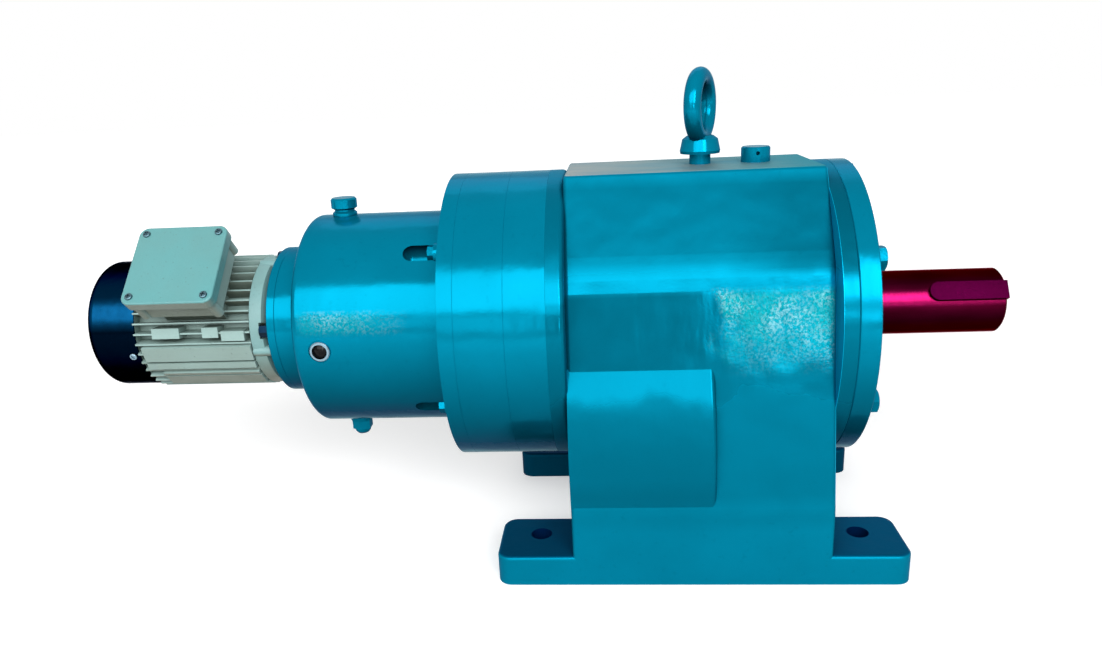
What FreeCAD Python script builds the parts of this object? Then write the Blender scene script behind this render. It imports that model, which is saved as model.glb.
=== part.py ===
import FreeCAD, Part
import math
import os

from FreeCAD import Vector

# Helical gear motor in millimetres. X runs along the shaft line towards the output end, Z is up.
# The origin is the middle of the foot bolt pattern, on the base plane.

# Base and main casing
AXIS_HEIGHT = 250.0
BODY_LENGTH = 262.0
PAD_RISE = 159.5
PAD_HALF_WIDTH = 66.0
PAD_EDGE = 6.0
PAD_DRAW = 0.6
BOW_RISE = 74.0
BOW_OUT = 6.4
BOW_ROUND = 140.0
BOW_DRAW = (0.88, 0.47)
SHOULDER_RISE = 50.0
SHOULDER_HALF_WIDTH = 125.5
SHOULDER_ROUND = 12.0
SHOULDER_DRAW = (0.96, 0.28)
PANEL_FOOT_HEIGHT = 80.0
PANEL_FOOT_ROUND = 60.0
PANEL_END_ROUND = 4.0
CASING_WALL = 14.0
TOP_WALL = 32.0
INSIDE_ROUND = 14.0
FLANGE_RADIUS = 158.5
INPUT_FLANGE = 17.0
INPUT_FLANGE_ROUND = 6.0
OUTPUT_FLANGE = 14.0
FLANGE_LAP = 1.0
COVER_SEAM = 0.8
RING_SEAM = 0.2
CASING_OPENING = 118.0
WEB_THICKNESS = 24.0
GEAR_SWELL_RADIUS = 179.5
GEAR_SWELL_WALL = 19.4
GEAR_SWELL_DROP = 24.0
GEAR_SWELL_END = 14.5
GEAR_SWELL_ROUND = 5.0
WHEEL_CLEARANCE = 5.0
PINION_CLEARANCE = 4.0

# Feet
FOOT_LENGTH = 421.0
FOOT_WIDTH = 330.0
FOOT_RAIL = 82.0
FOOT_THICKNESS = 32.5
FOOT_CORNER = 15.0
FOOT_TOP_ROUND = 4.0
FOOT_HOLE_SPACING_X = 334.0
FOOT_HOLE_SPACING_Y = 236.0
FOOT_HOLE_RADIUS = 11.0
UNDERSIDE_RECESS = 20.0

# Output end
COVER_THICKNESS = 20.0
COVER_SPIGOT = 8.0
COVER_HUB_WALL = 14.0
COVER_SHOULDER = 16.0
COVER_BOLT_CIRCLE = 142.0
COVER_BOLT_START = 32.5
COVER_BOLT_FLATS = 22.0
COVER_BOLT_HEAD = 9.0
COVER_BOLT_SHANK = 7.0
COVER_BOLT_GRIP = 12.0
SHAFT_DIAMETER = 70.0
SHAFT_LENGTH = 166.5
SHAFT_CHAMFER = 2.0
WHEEL_SEAT_STEP = 5.0
SHAFT_COLLAR_STEP = 7.0
KEY_WIDTH = 20.0
KEY_HEIGHT = 12.0
KEY_DEPTH = 7.5
KEY_LENGTH = 80.0
KEY_ELEVATION = 31.0
CENTRE_HOLE_RADIUS = 8.75
CENTRE_HOLE_DEPTH = 42.0
OUTPUT_JOURNAL = 75.0
OUTPUT_BEARING_OUTER = 130.0
OUTPUT_BEARING_WIDTH = 25.0
INNER_JOURNAL = 65.0
INNER_BEARING_OUTER = 120.0
INNER_BEARING_WIDTH = 23.0
OUTPUT_SEAL_OUTER = 100.0
OUTPUT_SEAL_WIDTH = 12.0

# Gear trains: centre distance and tooth numbers, pinion first
MAIN_CENTRES = 114.0
MAIN_COUNTER_ANGLE = 30.0
STAGE_3_TEETH = (12, 34)
STAGE_4_TEETH = (12, 33)
STAGE_3_WIDTH = 44.0
STAGE_4_WIDTH = 58.0
PRIMARY_CENTRES = 56.0
STAGE_1_TEETH = (12, 34)
STAGE_2_TEETH = (12, 33)
STAGE_1_WIDTH = 22.0
STAGE_1_GAP = 8.0
STAGE_2_WIDTH = 30.0
STAGE_2_GAP = 16.0
HELIX_ANGLE = 14.0
PRESSURE_ANGLE = 20.0
PROFILE_SHIFT = 0.4
TOOTH_GAP = 0.2

# Tooth heights and wheel rims in modules, hub and dish as shares of bore and width
ADDENDUM = 0.85
DEDENDUM = 1.25
RIM_DEPTH = 3.2
HUB_SHARE = 1.55
DISH_SHARE = 0.18
RACE_SHARE = 0.3

# Shafts between the stages
COUNTER_JOURNAL = 35.0
COUNTER_BEARING_OUTER = 72.0
COUNTER_BEARING_WIDTH = 17.0
COUNTER_PASSAGE = 9.0
COUNTER_SEAT_STEP = 4.5
MIDDLE_JOURNAL = 40.0
MIDDLE_BEARING_OUTER = 80.0
MIDDLE_BEARING_WIDTH = 18.0
MIDDLE_BEARING_INSET = 6.0
MIDDLE_SEAL_WALL = 8.0
MIDDLE_REAR_JOURNAL = 30.0
MIDDLE_REAR_BEARING_OUTER = 62.0
MIDDLE_REAR_BEARING_WIDTH = 16.0
SMALL_JOURNAL = 15.0
SMALL_BEARING_OUTER = 35.0
SMALL_BEARING_WIDTH = 11.0
SMALL_SEAT_STEP = 2.5
INPUT_JOURNAL = 25.0
INPUT_BEARING_OUTER = 52.0
INPUT_BEARING_WIDTH = 15.0
INPUT_SEAL_STEP = 5.0
SEAL_LIP_GAP = 0.1

# Round housings between casing and motor
CARRIER_LENGTH = 41.0
CARRIER_SPIGOT = 8.0
CARRIER_RECESS = 14.0
SPACER_LENGTH = 49.0
PLATE_THICKNESS = 16.0
PLATE_SPIGOT = 8.0
SPACER_BORE = 124.0
FLANGE_BOLT_CIRCLE = 142.0
FLANGE_BOLT_START = 30.0
FLANGE_SCREW_SHANK = 6.0
FLANGE_SCREW_HEAD_RADIUS = 9.0
FLANGE_SCREW_HEAD = 8.0
FLANGE_SCREW_SOCKET = 10.0
FLANGE_SCREW_SINK = 8.5
FLANGE_SCREW_GRIP = 14.0
PRIMARY_RADIUS = 118.5
PRIMARY_LENGTH = 161.5
PRIMARY_END_WALL = 16.0
PRIMARY_END_ROUND = 7.0
PRIMARY_WALL = 12.0
PRIMARY_MOUTH = 88.0
POCKET_RADIUS = 13.0
POCKET_SINK = 9.0
POCKET_START = 36.0
POCKET_EAR = 12.0
POCKET_TURN = 48.0
POCKET_LUG_RADIUS = 11.0
POCKET_BOLT_CIRCLE = 116.0
POCKET_BOLT_FLATS = 16.0
POCKET_BOLT_HEAD = 7.0
POCKET_BOLT_SHANK = 5.0
POCKET_BOLT_GRIP = 10.0
ADAPTOR_RADIUS = 83.0
ADAPTOR_LENGTH = 30.5
ADAPTOR_SPIGOT_RADIUS = 55.0
ADAPTOR_SPIGOT = 4.0
ADAPTOR_SCREW_CIRCLE = 66.0
ADAPTOR_SCREW_SHANK = 4.0
ADAPTOR_SCREW_HEAD_RADIUS = 6.5
ADAPTOR_SCREW_HEAD = 8.0
ADAPTOR_SCREW_SOCKET = 6.0
ADAPTOR_SCREW_SINK = 9.0

# Plugs, glass and lifting eye; places of the primary unit run from its motor end
MAIN_BREATHER_X = 71.0
MAIN_BREATHER_RADIUS = 15.25
MAIN_BREATHER_HEIGHT = 16.0
MAIN_BREATHER_THREAD = 8.0
MAIN_DRAIN_THREAD = 9.0
MAIN_DRAIN_RISE = 20.0
PRIMARY_BREATHER_PLACE = 34.5
BREATHER_BOSS_RADIUS = 12.5
BREATHER_BOSS_RISE = 0.5
PRIMARY_DRAIN_PLACE = 25.5
DRAIN_BOSS_RADIUS = 15.0
DRAIN_BOSS_RISE = 9.0
PRIMARY_PLUG_THREAD = 6.0
SIGHT_GLASS_PLACE = 29.5
SIGHT_GLASS_RADIUS = 10.5
SIGHT_GLASS_ELEVATION = -2.0
SIGHT_GLASS_SINK = 1.5
EYE_X = 12.5
EYE_RING_FOOT = 20.0
EYE_RING_RADIUS = 30.5
EYE_SECTION = 9.0
EYE_TURN = 21.0
EYE_SHANK = 11.2
EYE_SHANK_DEPTH = 26.0

# Motor
MOTOR_FLANGE = 9.5
MOTOR_FLANGE_BORE = 24.0
FRONT_BEARING_INSET = 7.0
MOTOR_BOLT_CIRCLE = 72.0
MOTOR_BOLT_START = 5.0
MOTOR_BOLT_FLATS = 13.0
MOTOR_BOLT_HEAD = 11.0
MOTOR_BOLT_SHANK = 4.0
MOTOR_BOLT_GRIP = 18.0
MOTOR_BOLT_ROOM = 1.5
SHIELD_LENGTH = 22.5
SHIELD_RIM_LENGTH = 13.0
SHIELD_FACE_RADIUS = 60.0
SHIELD_LUG_RADIUS = 6.0
SHIELD_LUG_START = -14.5
FRAME_LENGTH = 132.0
FRAME_BORE = 55.0
FRAME_WALL = 5.0
FIN_RADIUS = 75.0
FIN_THICKNESS = 2.4
FIN_COUNT = 40
FIN_START = 4.5
FRAME_PAD_RADIUS = 76.5
RAIL_GROOVE = 2.4
RAIL_GROOVE_DEPTH = 5.0
STACK_LENGTH = 70.0
STATOR_BORE = 32.0
STATOR_SLOTS = 24
SLOT_WIDTH = 4.0
SLOT_DEPTH = 12.0
END_TURN_LENGTH = 18.0
AIR_GAP = 0.4
REAR_SHIELD = 12.0
COWL_RADIUS = 72.5
COWL_LENGTH = 56.5
COWL_SHEET = 1.5
COWL_ROUND = 9.0
COWL_SLOT = 4.4
COWL_BRIDGE = 5.0
COWL_RINGS = 5
COWL_FIRST_RING = 18.0
COWL_RING_STEP = 9.0
COWL_SCREW_SHANK = 2.0
COWL_SCREW_START = -16.0
FAN_WIDTH = 18.0
FAN_BLADES = 8
MOTOR_SHAFT_DIAMETER = 14.0
MOTOR_SHAFT_LENGTH = 30.0
MOTOR_KEY_WIDTH = 5.0
MOTOR_KEY_LENGTH = 20.0
MOTOR_KEY_DEPTH = 3.0
MOTOR_KEY_RISE = 2.0
MOTOR_KEY_PLACE = 17.0
BOX_SHIFT = 2.0
BOX_ELEVATION = 45.0
BOX_LENGTH = 98.0
BOX_WIDTH = 96.0
BOX_FACE = 121.5
BOX_COVER = 12.0
BOX_GASKET = 1.5
BOX_FLOOR = 82.0
BOX_OVERHANG = 7.0
BOX_WALL = 4.0
BOX_SCREW_INSET = 9.0
LID_EDGE = 2.0
LID_SCREW_SHANK = 2.0
BOX_POST_RADIUS = 5.5
BOX_NECK_LENGTH = 66.0
BOX_NECK_WIDTH = 58.0
BOX_SEAT = 66.0
BOX_PASSAGE = 11.0
CABLE_ENTRY_RADIUS = 8.0
BOARD_LENGTH = 54.0
BOARD_NEAR = 12.0
BOARD_FAR = 36.0
BOARD_HEIGHT = 9.0
STUD_SPACING = 18.0
STUD_RADIUS = 2.0

# Side pads of the motor frame: start and end as shares of its length, elevation, half height
FRAME_PADS = [(0.167, 0.402, 5.1, 5.75), (0.598, 0.735, 5.1, 5.75), (0.758, 0.955, 1.9, 5.5)]

# Grooved rails of the motor frame: start, elevation, half height, place of the groove
FRAME_RAILS = [(7.0, -17.6, 14.3, -5.2), (20.0, -43.0, 12.4, 6.6)]

# Fits
FIT = 0.05
RUN = 0.4
THREAD_GAP = 0.1
BOLT_GAP = 0.6

# Stations along X
body_r = BODY_LENGTH / 2
body_l = -BODY_LENGTH / 2
flange_r = body_r + OUTPUT_FLANGE
cover_x = flange_r + COVER_THICKNESS
shaft_x = cover_x + SHAFT_LENGTH
flange_l = body_l - INPUT_FLANGE
carrier_x = flange_l - CARRIER_LENGTH
spacer_x = carrier_x - SPACER_LENGTH
plate_x = spacer_x - PLATE_THICKNESS
primary_x = plate_x - PRIMARY_LENGTH
adaptor_x = primary_x - ADAPTOR_LENGTH
motor_x = adaptor_x - MOTOR_FLANGE
frame_r = motor_x - SHIELD_LENGTH
frame_l = frame_r - FRAME_LENGTH
cowl_x = frame_l - COWL_LENGTH
cavity_l = body_l + CASING_WALL
cavity_r = body_r - CASING_WALL
web_r = GEAR_SWELL_END
web_l = web_r - WEB_THICKNESS
seat_x = cover_x - OUTPUT_SEAL_WIDTH - COVER_SHOULDER
bearing_x = seat_x - OUTPUT_BEARING_WIDTH
primary_breather_x = primary_x + PRIMARY_BREATHER_PLACE
primary_drain_x = primary_x + PRIMARY_DRAIN_PLACE
sight_glass_x = primary_x + SIGHT_GLASS_PLACE
box_x = (frame_l + frame_r) / 2 + BOX_SHIFT

# Shaft lines as (y, z)
counter_turn = math.radians(MAIN_COUNTER_ANGLE)
MAIN = (0.0, AXIS_HEIGHT)
COUNTER = (-MAIN_CENTRES * math.sin(counter_turn), AXIS_HEIGHT - MAIN_CENTRES * math.cos(counter_turn))
PRIMARY_COUNTER = (0.0, AXIS_HEIGHT - PRIMARY_CENTRES)

# Gear places along X
stage_3_x = (cavity_l + web_l) / 2
stage_4_x = (web_r + bearing_x) / 2
stage_1_x = primary_x + PRIMARY_END_WALL + STAGE_1_GAP + STAGE_1_WIDTH / 2
stage_2_x = plate_x - STAGE_2_GAP - STAGE_2_WIDTH / 2


def even(start, count):
    """Elevations of a ring of equal steps."""
    return [start + 360.0 * i / count for i in range(count)]


COVER_BOLT_ANGLES = even(COVER_BOLT_START, 6)
FLANGE_BOLT_ANGLES = even(FLANGE_BOLT_START, 6)
POCKET_ANGLES = even(POCKET_TURN, 4)
ADAPTOR_SCREW_ANGLES = even(45.0, 4)
MOTOR_BOLT_ANGLES = even(MOTOR_BOLT_START, 4)
SHIELD_LUG_ANGLES = even(SHIELD_LUG_START, 4)
COWL_SCREW_ANGLES = even(COWL_SCREW_START, 4)
TO_OUTPUT = Vector(1, 0, 0)
TO_MOTOR = Vector(-1, 0, 0)
UP = Vector(0, 0, 1)


def module(centres, teeth):
    """Transverse module that puts a pair of gears on its centre distance."""
    return 2 * centres / (teeth[0] + teeth[1])


def root_radius(centres, teeth):
    """Root radius of the pinion of a pair."""
    size = module(centres, teeth)
    return size * teeth[0] / 2 - size * (DEDENDUM - PROFILE_SHIFT)


def pinion_tip(centres, teeth):
    size = module(centres, teeth)
    return size * teeth[0] / 2 + size * (ADDENDUM + PROFILE_SHIFT)


def wheel_tip(centres, teeth):
    size = module(centres, teeth)
    return size * teeth[1] / 2 + size * (ADDENDUM - PROFILE_SHIFT)


# The swell leaves room for the big wheel and a wall in front of it
wheel_room = wheel_tip(MAIN_CENTRES, STAGE_3_TEETH) + WHEEL_CLEARANCE
swell_front = COUNTER[0] - wheel_room - GEAR_SWELL_WALL
SWELL = (swell_front + GEAR_SWELL_RADIUS, COUNTER[1] - GEAR_SWELL_DROP)


def disc(x0, x1, radius, line=MAIN):
    return Part.makeCylinder(radius, x1 - x0, Vector(x0, line[0], line[1]), Vector(1, 0, 0))


def tube(x0, x1, outer, inner, line=MAIN):
    return disc(x0, x1, outer, line).cut(disc(x0 - 1, x1 + 1, inner, line))


def rims(shape):
    """Circular edges of a plain disc."""
    return [e for e in shape.Edges if e.Curve.TypeId == "Part::GeomCircle"]


def rim_at(shape, x):
    """Circular edges of a disc at one of its ends."""
    return [e for e in rims(shape) if abs(e.CenterOfMass.x - x) < 0.1]


def block(x0, x1, y0, y1, z0, z1):
    return Part.makeBox(x1 - x0, y1 - y0, z1 - z0, Vector(x0, y0, z0))


def post(x, y, z, radius, height):
    return Part.makeCylinder(radius, height, Vector(x, y, z), UP)


def turned(profile, line=MAIN):
    """Solid of revolution about a shaft line from (x, radius) points."""
    points = [Vector(x, line[0], line[1] + r) for x, r in profile]
    face = Part.Face(Part.makePolygon(points + points[:1]))
    return face.revolve(Vector(0, line[0], line[1]), Vector(1, 0, 0), 360)


def stepped(steps, line=MAIN):
    """Stepped shaft from (x0, x1, radius) lengths that follow each other."""
    profile = [(steps[0][0], 0.0)]
    for x0, x1, radius in steps:
        profile += [(x0, radius), (x1, radius)]
    profile.append((steps[-1][1], 0.0))
    return turned(profile, line)


def upright(z0, profile, x, y=0.0):
    """Solid of revolution about a vertical line from (height, radius) points."""
    points = [Vector(x + r, y, z0 + h) for h, r in profile]
    face = Part.Face(Part.makePolygon(points + points[:1]))
    return face.revolve(Vector(x, y, 0), Vector(0, 0, 1), 360)


def spoke(shape, elevation, line=MAIN):
    """Turn a shape that points up about a shaft line until it points to the front at this elevation."""
    turn = shape.copy()
    turn.rotate(Vector(0, line[0], line[1]), Vector(1, 0, 0), 90.0 - elevation)
    return turn


def around(make, elevations):
    return [spoke(make, angle) for angle in elevations]


def rounded_wire(corners, place):
    """Closed wire through (u, v, radius) corners with every corner rounded."""
    marks = []
    for i, (u, v, radius) in enumerate(corners):
        before = corners[i - 1]
        after = corners[(i + 1) % len(corners)]
        to_a = Vector(before[0] - u, before[1] - v, 0)
        to_b = Vector(after[0] - u, after[1] - v, 0)
        half = to_a.getAngle(to_b) / 2
        room = 0.49 * min(to_a.Length, to_b.Length)
        reach = min(radius / math.tan(half), room)
        radius = reach * math.tan(half)
        to_a.normalize()
        to_b.normalize()
        corner = Vector(u, v, 0)
        middle = to_a + to_b
        middle.normalize()
        mid = corner + middle * (radius / math.sin(half) - radius)
        marks.append((corner + to_a * reach, mid, corner + to_b * reach, reach > 1e-6))
    edges = []
    for i, (start, mid, end, is_round) in enumerate(marks):
        follow = marks[(i + 1) % len(marks)][0]
        if is_round:
            edges.append(Part.Arc(place(start), place(mid), place(end)).toShape())
        if (follow - end).Length > 1e-6:
            edges.append(Part.makeLine(place(end), place(follow)))
    return Part.Wire(edges)


def across(x):
    """Map (u, v) to the plane across the shaft line at x."""
    return lambda p: Vector(x, p.x, p.y)


def level(z):
    """Map (u, v) to the horizontal plane at z."""
    return lambda p: Vector(p.x, p.y, z)


def prism(corners, place, run):
    return Part.Face(rounded_wire(corners, place)).extrude(run)


def hexagon(across_flats, height, base, direction):
    """Hexagon prism standing on base."""
    radius = across_flats / math.sqrt(3)
    points = []
    for i in range(6):
        angle = math.radians(60 * i + 30)
        points.append(Vector(radius * math.cos(angle), radius * math.sin(angle), 0))
    solid = Part.Face(Part.makePolygon(points + points[:1])).extrude(Vector(0, 0, height))
    solid.Placement = FreeCAD.Placement(base, FreeCAD.Rotation(Vector(0, 0, 1), direction))
    return solid


def hex_bolt(base, direction, flats, head, shank, length):
    """Hexagon bolt with its head seated on base, the shank running against the direction."""
    body = Part.makeCylinder(shank, length, base, direction * -1)
    return hexagon(flats, head, base, direction).fuse(body)


def socket_screw(base, direction, head_radius, head, socket, shank, length):
    """Socket head screw with its head seated on base, the shank running against the direction."""
    body = Part.makeCylinder(head_radius, head, base, direction)
    body = body.fuse(Part.makeCylinder(shank, length, base, direction * -1))
    return body.cut(hexagon(socket, head / 2, base + direction * head, direction * -1))


def ring_points(x, radius, elevations):
    """Points on a circle about the shaft line, elevation measured up from the front."""
    points = []
    for angle in elevations:
        turn = math.radians(angle)
        points.append(Vector(x, -radius * math.cos(turn), AXIS_HEIGHT + radius * math.sin(turn)))
    return points


def drill(shape, points, radius, direction, depth):
    for point in points:
        shape = shape.cut(Part.makeCylinder(radius, depth, point, direction))
    return shape


def tooth_wire(teeth, size, shift, x, turn, line):
    """Transverse outline of an involute gear; angles run from up towards +Y."""
    slope = math.atan(math.tan(math.radians(PRESSURE_ANGLE)) / math.cos(math.radians(HELIX_ANGLE)))
    pitch = size * teeth / 2
    base = pitch * math.cos(slope)
    tip = pitch + size * (ADDENDUM + shift)
    root = pitch - size * (DEDENDUM - shift)
    thickness = size * (math.pi / 2 + 2 * shift * math.tan(slope)) - 2 * TOOTH_GAP
    start = thickness / (2 * pitch) + math.tan(slope) - slope

    def half_angle(radius):
        lean = math.acos(min(1.0, base / radius))
        return start - (math.tan(lean) - lean)

    def at(radius, angle):
        return Vector(x, line[0] + radius * math.sin(angle), line[1] + radius * math.cos(angle))

    radii = [root + (tip - root) * i / 4 for i in range(5)]
    edges = []
    for i in range(teeth):
        centre = turn + 2 * math.pi * i / teeth
        following = centre + 2 * math.pi / teeth
        rise = [at(r, centre - half_angle(r)) for r in radii]
        fall = [at(r, centre + half_angle(r)) for r in reversed(radii)]
        for flank in (rise, fall):
            curve = Part.BSplineCurve()
            curve.interpolate(flank)
            edges.append(curve.toShape())
            if flank is rise:
                edges.append(Part.makeLine(rise[-1], fall[0]))
        edges.append(Part.makeLine(fall[-1], at(root, following - half_angle(root))))
    return Part.Wire(edges)


def helical(teeth, size, shift, x, width, turn, hand, line):
    """Helical gear body, its middle plane at x."""
    twist = hand * width * math.tan(math.radians(HELIX_ANGLE)) / (size * teeth / 2)
    reach = min(10.0, 0.3 * 360.0 / teeth)
    spans = max(1, math.ceil(abs(math.degrees(twist)) / reach))
    wires = []
    for i in range(spans + 1):
        part = i / spans - 0.5
        wires.append(tooth_wire(teeth, size, shift, x + part * width, turn + part * twist, line))
    return Part.makeLoft(wires, True, True)


def pinion(centres, teeth, x, width, hand, line, towards):
    """Pinion with a tooth pointing at its mate."""
    size = module(centres, teeth)
    return helical(teeth[0], size, PROFILE_SHIFT, x, width, towards, hand, line)


def wheel(centres, teeth, x, width, hand, line, towards, bore):
    """Gear wheel with a tooth space pointing at its pinion, dished sides and a shrink bore."""
    size = module(centres, teeth)
    turn = towards + math.pi / teeth[1]
    body = helical(teeth[1], size, -PROFILE_SHIFT, x, width, turn, hand, line)
    rim = size * teeth[1] / 2 - RIM_DEPTH * size
    hub = bore * HUB_SHARE
    dish = DISH_SHARE * width
    if rim > hub + 4:
        for side in (x - width / 2 - 1, x + width / 2 - dish):
            body = body.cut(tube(side, side + dish + 1, rim, hub, line))
    return body.cut(disc(x - width, x + width, bore + FIT, line))


def shaft_key(x, length, width, top, bottom, line):
    """Round-ended key lying along the top of a shaft."""
    half = width / 2
    corners = [(x - length / 2, -half, half), (x + length / 2, -half, half)]
    corners += [(x + length / 2, half, half), (x - length / 2, half, half)]

    def on_shaft(p):
        return Vector(p.x, line[0] + p.y, line[1] + bottom)

    return prism(corners, on_shaft, Vector(0, 0, top - bottom))


def inner_ring(x0, width, bore, outer, line=MAIN):
    return tube(x0, x0 + width, bore / 2 + RACE_SHARE * (outer - bore) / 2, bore / 2 + FIT, line)


def outer_ring(x0, width, bore, outer, line=MAIN):
    race = bore / 2 + RACE_SHARE * (outer - bore) / 2 + RUN
    return tube(x0, x0 + width, outer / 2 - FIT, race, line)


# Bearing places as (x0, width, bore, outer, line)
COUNTER_SIZE = (COUNTER_BEARING_WIDTH, COUNTER_JOURNAL, COUNTER_BEARING_OUTER)
MIDDLE_SIZE = (MIDDLE_BEARING_WIDTH, MIDDLE_JOURNAL, MIDDLE_BEARING_OUTER)
MIDDLE_REAR_SIZE = (MIDDLE_REAR_BEARING_WIDTH, MIDDLE_REAR_JOURNAL, MIDDLE_REAR_BEARING_OUTER)
INNER_SIZE = (INNER_BEARING_WIDTH, INNER_JOURNAL, INNER_BEARING_OUTER)
OUTPUT_SIZE = (OUTPUT_BEARING_WIDTH, OUTPUT_JOURNAL, OUTPUT_BEARING_OUTER)
SMALL_SIZE = (SMALL_BEARING_WIDTH, SMALL_JOURNAL, SMALL_BEARING_OUTER)
INPUT_SIZE = (INPUT_BEARING_WIDTH, INPUT_JOURNAL, INPUT_BEARING_OUTER)
OUTPUT_BEARINGS = [
    (bearing_x, *OUTPUT_SIZE, MAIN),
    (web_r - 0.5 - INNER_BEARING_WIDTH, *INNER_SIZE, MAIN),
]
COUNTER_BEARINGS = [
    (flange_r, *COUNTER_SIZE, COUNTER),
    (flange_l - COUNTER_BEARING_WIDTH, *COUNTER_SIZE, COUNTER),
]
MIDDLE_BEARINGS = [
    (flange_l - MIDDLE_BEARING_INSET - MIDDLE_BEARING_WIDTH, *MIDDLE_SIZE, MAIN),
    (spacer_x - MIDDLE_REAR_BEARING_WIDTH, *MIDDLE_REAR_SIZE, MAIN),
]
PRIMARY_BEARINGS = [
    (plate_x - PLATE_SPIGOT, *SMALL_SIZE, PRIMARY_COUNTER),
    (primary_x + PRIMARY_END_WALL - SMALL_BEARING_WIDTH, *SMALL_SIZE, PRIMARY_COUNTER),
]
INPUT_BEARINGS = [
    (primary_x + 0.5, *INPUT_SIZE, MAIN),
    (adaptor_x + ADAPTOR_SPIGOT + 1.0, *INPUT_SIZE, MAIN),
]
MOTOR_BEARINGS = [
    (frame_r + FRONT_BEARING_INSET, *SMALL_SIZE, MAIN),
    (frame_l - SMALL_BEARING_WIDTH, *SMALL_SIZE, MAIN),
]


def outer_rings(places):
    return Part.makeCompound([outer_ring(*place) for place in places])


def inner_rings(places):
    return Part.makeCompound([inner_ring(*place) for place in places])


def pocket(place, x0, x1):
    """Bore for a bearing from x0 to x1."""
    return disc(x0, x1, place[3] / 2, place[4])


def casing_corners(inset):
    """Corners of the casing section, drawn in by an inset for the inside."""
    half = FOOT_WIDTH / 2 - inset
    pad = PAD_HALF_WIDTH - PAD_DRAW * inset
    top = AXIS_HEIGHT + PAD_RISE - (TOP_WALL if inset else 0.0)
    bottom = UNDERSIDE_RECESS + inset if inset else 0.0
    knee = AXIS_HEIGHT + SHOULDER_RISE - SHOULDER_DRAW[1] * inset
    lean = (PAD_RISE - BOW_RISE) / (PAD_RISE - SHOULDER_RISE)
    bow = PAD_HALF_WIDTH + lean * (SHOULDER_HALF_WIDTH - PAD_HALF_WIDTH) + BOW_OUT
    rise = AXIS_HEIGHT + BOW_RISE
    right = [
        (half, bottom, INSIDE_ROUND if inset else 0.0),
        (half, PANEL_FOOT_HEIGHT, PANEL_FOOT_ROUND),
        (SHOULDER_HALF_WIDTH - SHOULDER_DRAW[0] * inset, knee, SHOULDER_ROUND),
        (bow - BOW_DRAW[0] * inset, rise - BOW_DRAW[1] * inset, BOW_ROUND / 2 if inset else BOW_ROUND),
        (pad, top, INSIDE_ROUND if inset else PAD_EDGE),
    ]
    left = [(-u, v, r) for u, v, r in reversed(right)]
    return right + left


def rail(side):
    """One foot rail on the front (-1) or back (+1)."""
    half = FOOT_LENGTH / 2
    outer = side * FOOT_WIDTH / 2
    inner = side * (FOOT_WIDTH / 2 - FOOT_RAIL)
    r = FOOT_CORNER
    corners = [(-half, outer, r), (half, outer, r), (half, inner, r), (-half, inner, r)]
    solid = prism(corners, level(0.0), Vector(0, 0, FOOT_THICKNESS))
    rim = [e for e in solid.Edges if min(v.Z for v in e.Vertexes) > FOOT_THICKNESS - 0.01]
    return solid.makeFillet(FOOT_TOP_ROUND, rim)


def gear_swell():
    """Round swell on the front over the big wheel."""
    swell = disc(body_l, GEAR_SWELL_END, GEAR_SWELL_RADIUS, SWELL)
    swell = swell.makeFillet(GEAR_SWELL_ROUND, rim_at(swell, GEAR_SWELL_END))
    top = AXIS_HEIGHT + PAD_RISE
    front = block(body_l, GEAR_SWELL_END, -FOOT_WIDTH, COUNTER[0], FOOT_THICKNESS, top)
    return swell.common(front)


def casing_block():
    """Outer form of the casing: section with rounded ends, swell, end flanges and foot rails."""
    body = prism(casing_corners(0.0), across(body_l), Vector(BODY_LENGTH, 0, 0))
    ends = []
    for edge in body.Edges:
        xs = [v.X for v in edge.Vertexes]
        if max(xs) - min(xs) < 0.01 and edge.CenterOfMass.z > 1.0:
            ends.append(edge)
    body = body.makeFillet(PANEL_END_ROUND, ends)
    left = disc(flange_l, body_l + FLANGE_LAP, FLANGE_RADIUS)
    left = left.makeFillet(INPUT_FLANGE_ROUND, rim_at(left, body_l + FLANGE_LAP))
    right = disc(body_r - FLANGE_LAP, flange_r, FLANGE_RADIUS)
    right = right.makeChamfer(COVER_SEAM, rim_at(right, flange_r))
    for part in (gear_swell(), left, right, rail(-1), rail(1)):
        body = body.fuse(part)
    gap = FOOT_WIDTH / 2 - FOOT_RAIL
    return body.cut(block(-FOOT_LENGTH, FOOT_LENGTH, -gap, gap, -1, UNDERSIDE_RECESS))


def hollow_casing(body):
    """Cut the two gear rooms, the end openings and the passages through the web."""
    inside = casing_corners(CASING_WALL)
    room = disc(cavity_l, web_l, wheel_room, COUNTER)
    room = room.fuse(prism(inside, across(cavity_l), Vector(web_l - cavity_l, 0, 0)))
    body = body.cut(room)
    body = body.cut(prism(inside, across(web_r), Vector(cavity_r - web_r, 0, 0)))
    for x0, x1 in ((flange_l - 1, cavity_l + 1), (cavity_r - 1, flange_r + 1)):
        body = body.cut(disc(x0, x1, CASING_OPENING))
        body = body.cut(disc(x0, x1, COUNTER_JOURNAL / 2 + COUNTER_PASSAGE, COUNTER))
    body = body.cut(disc(web_l - 1, web_r + 1, INNER_BEARING_OUTER / 2))
    passage = pinion_tip(MAIN_CENTRES, STAGE_4_TEETH) + PINION_CLEARANCE
    return body.cut(disc(web_l - 1, web_r + 1, passage, COUNTER))


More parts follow.
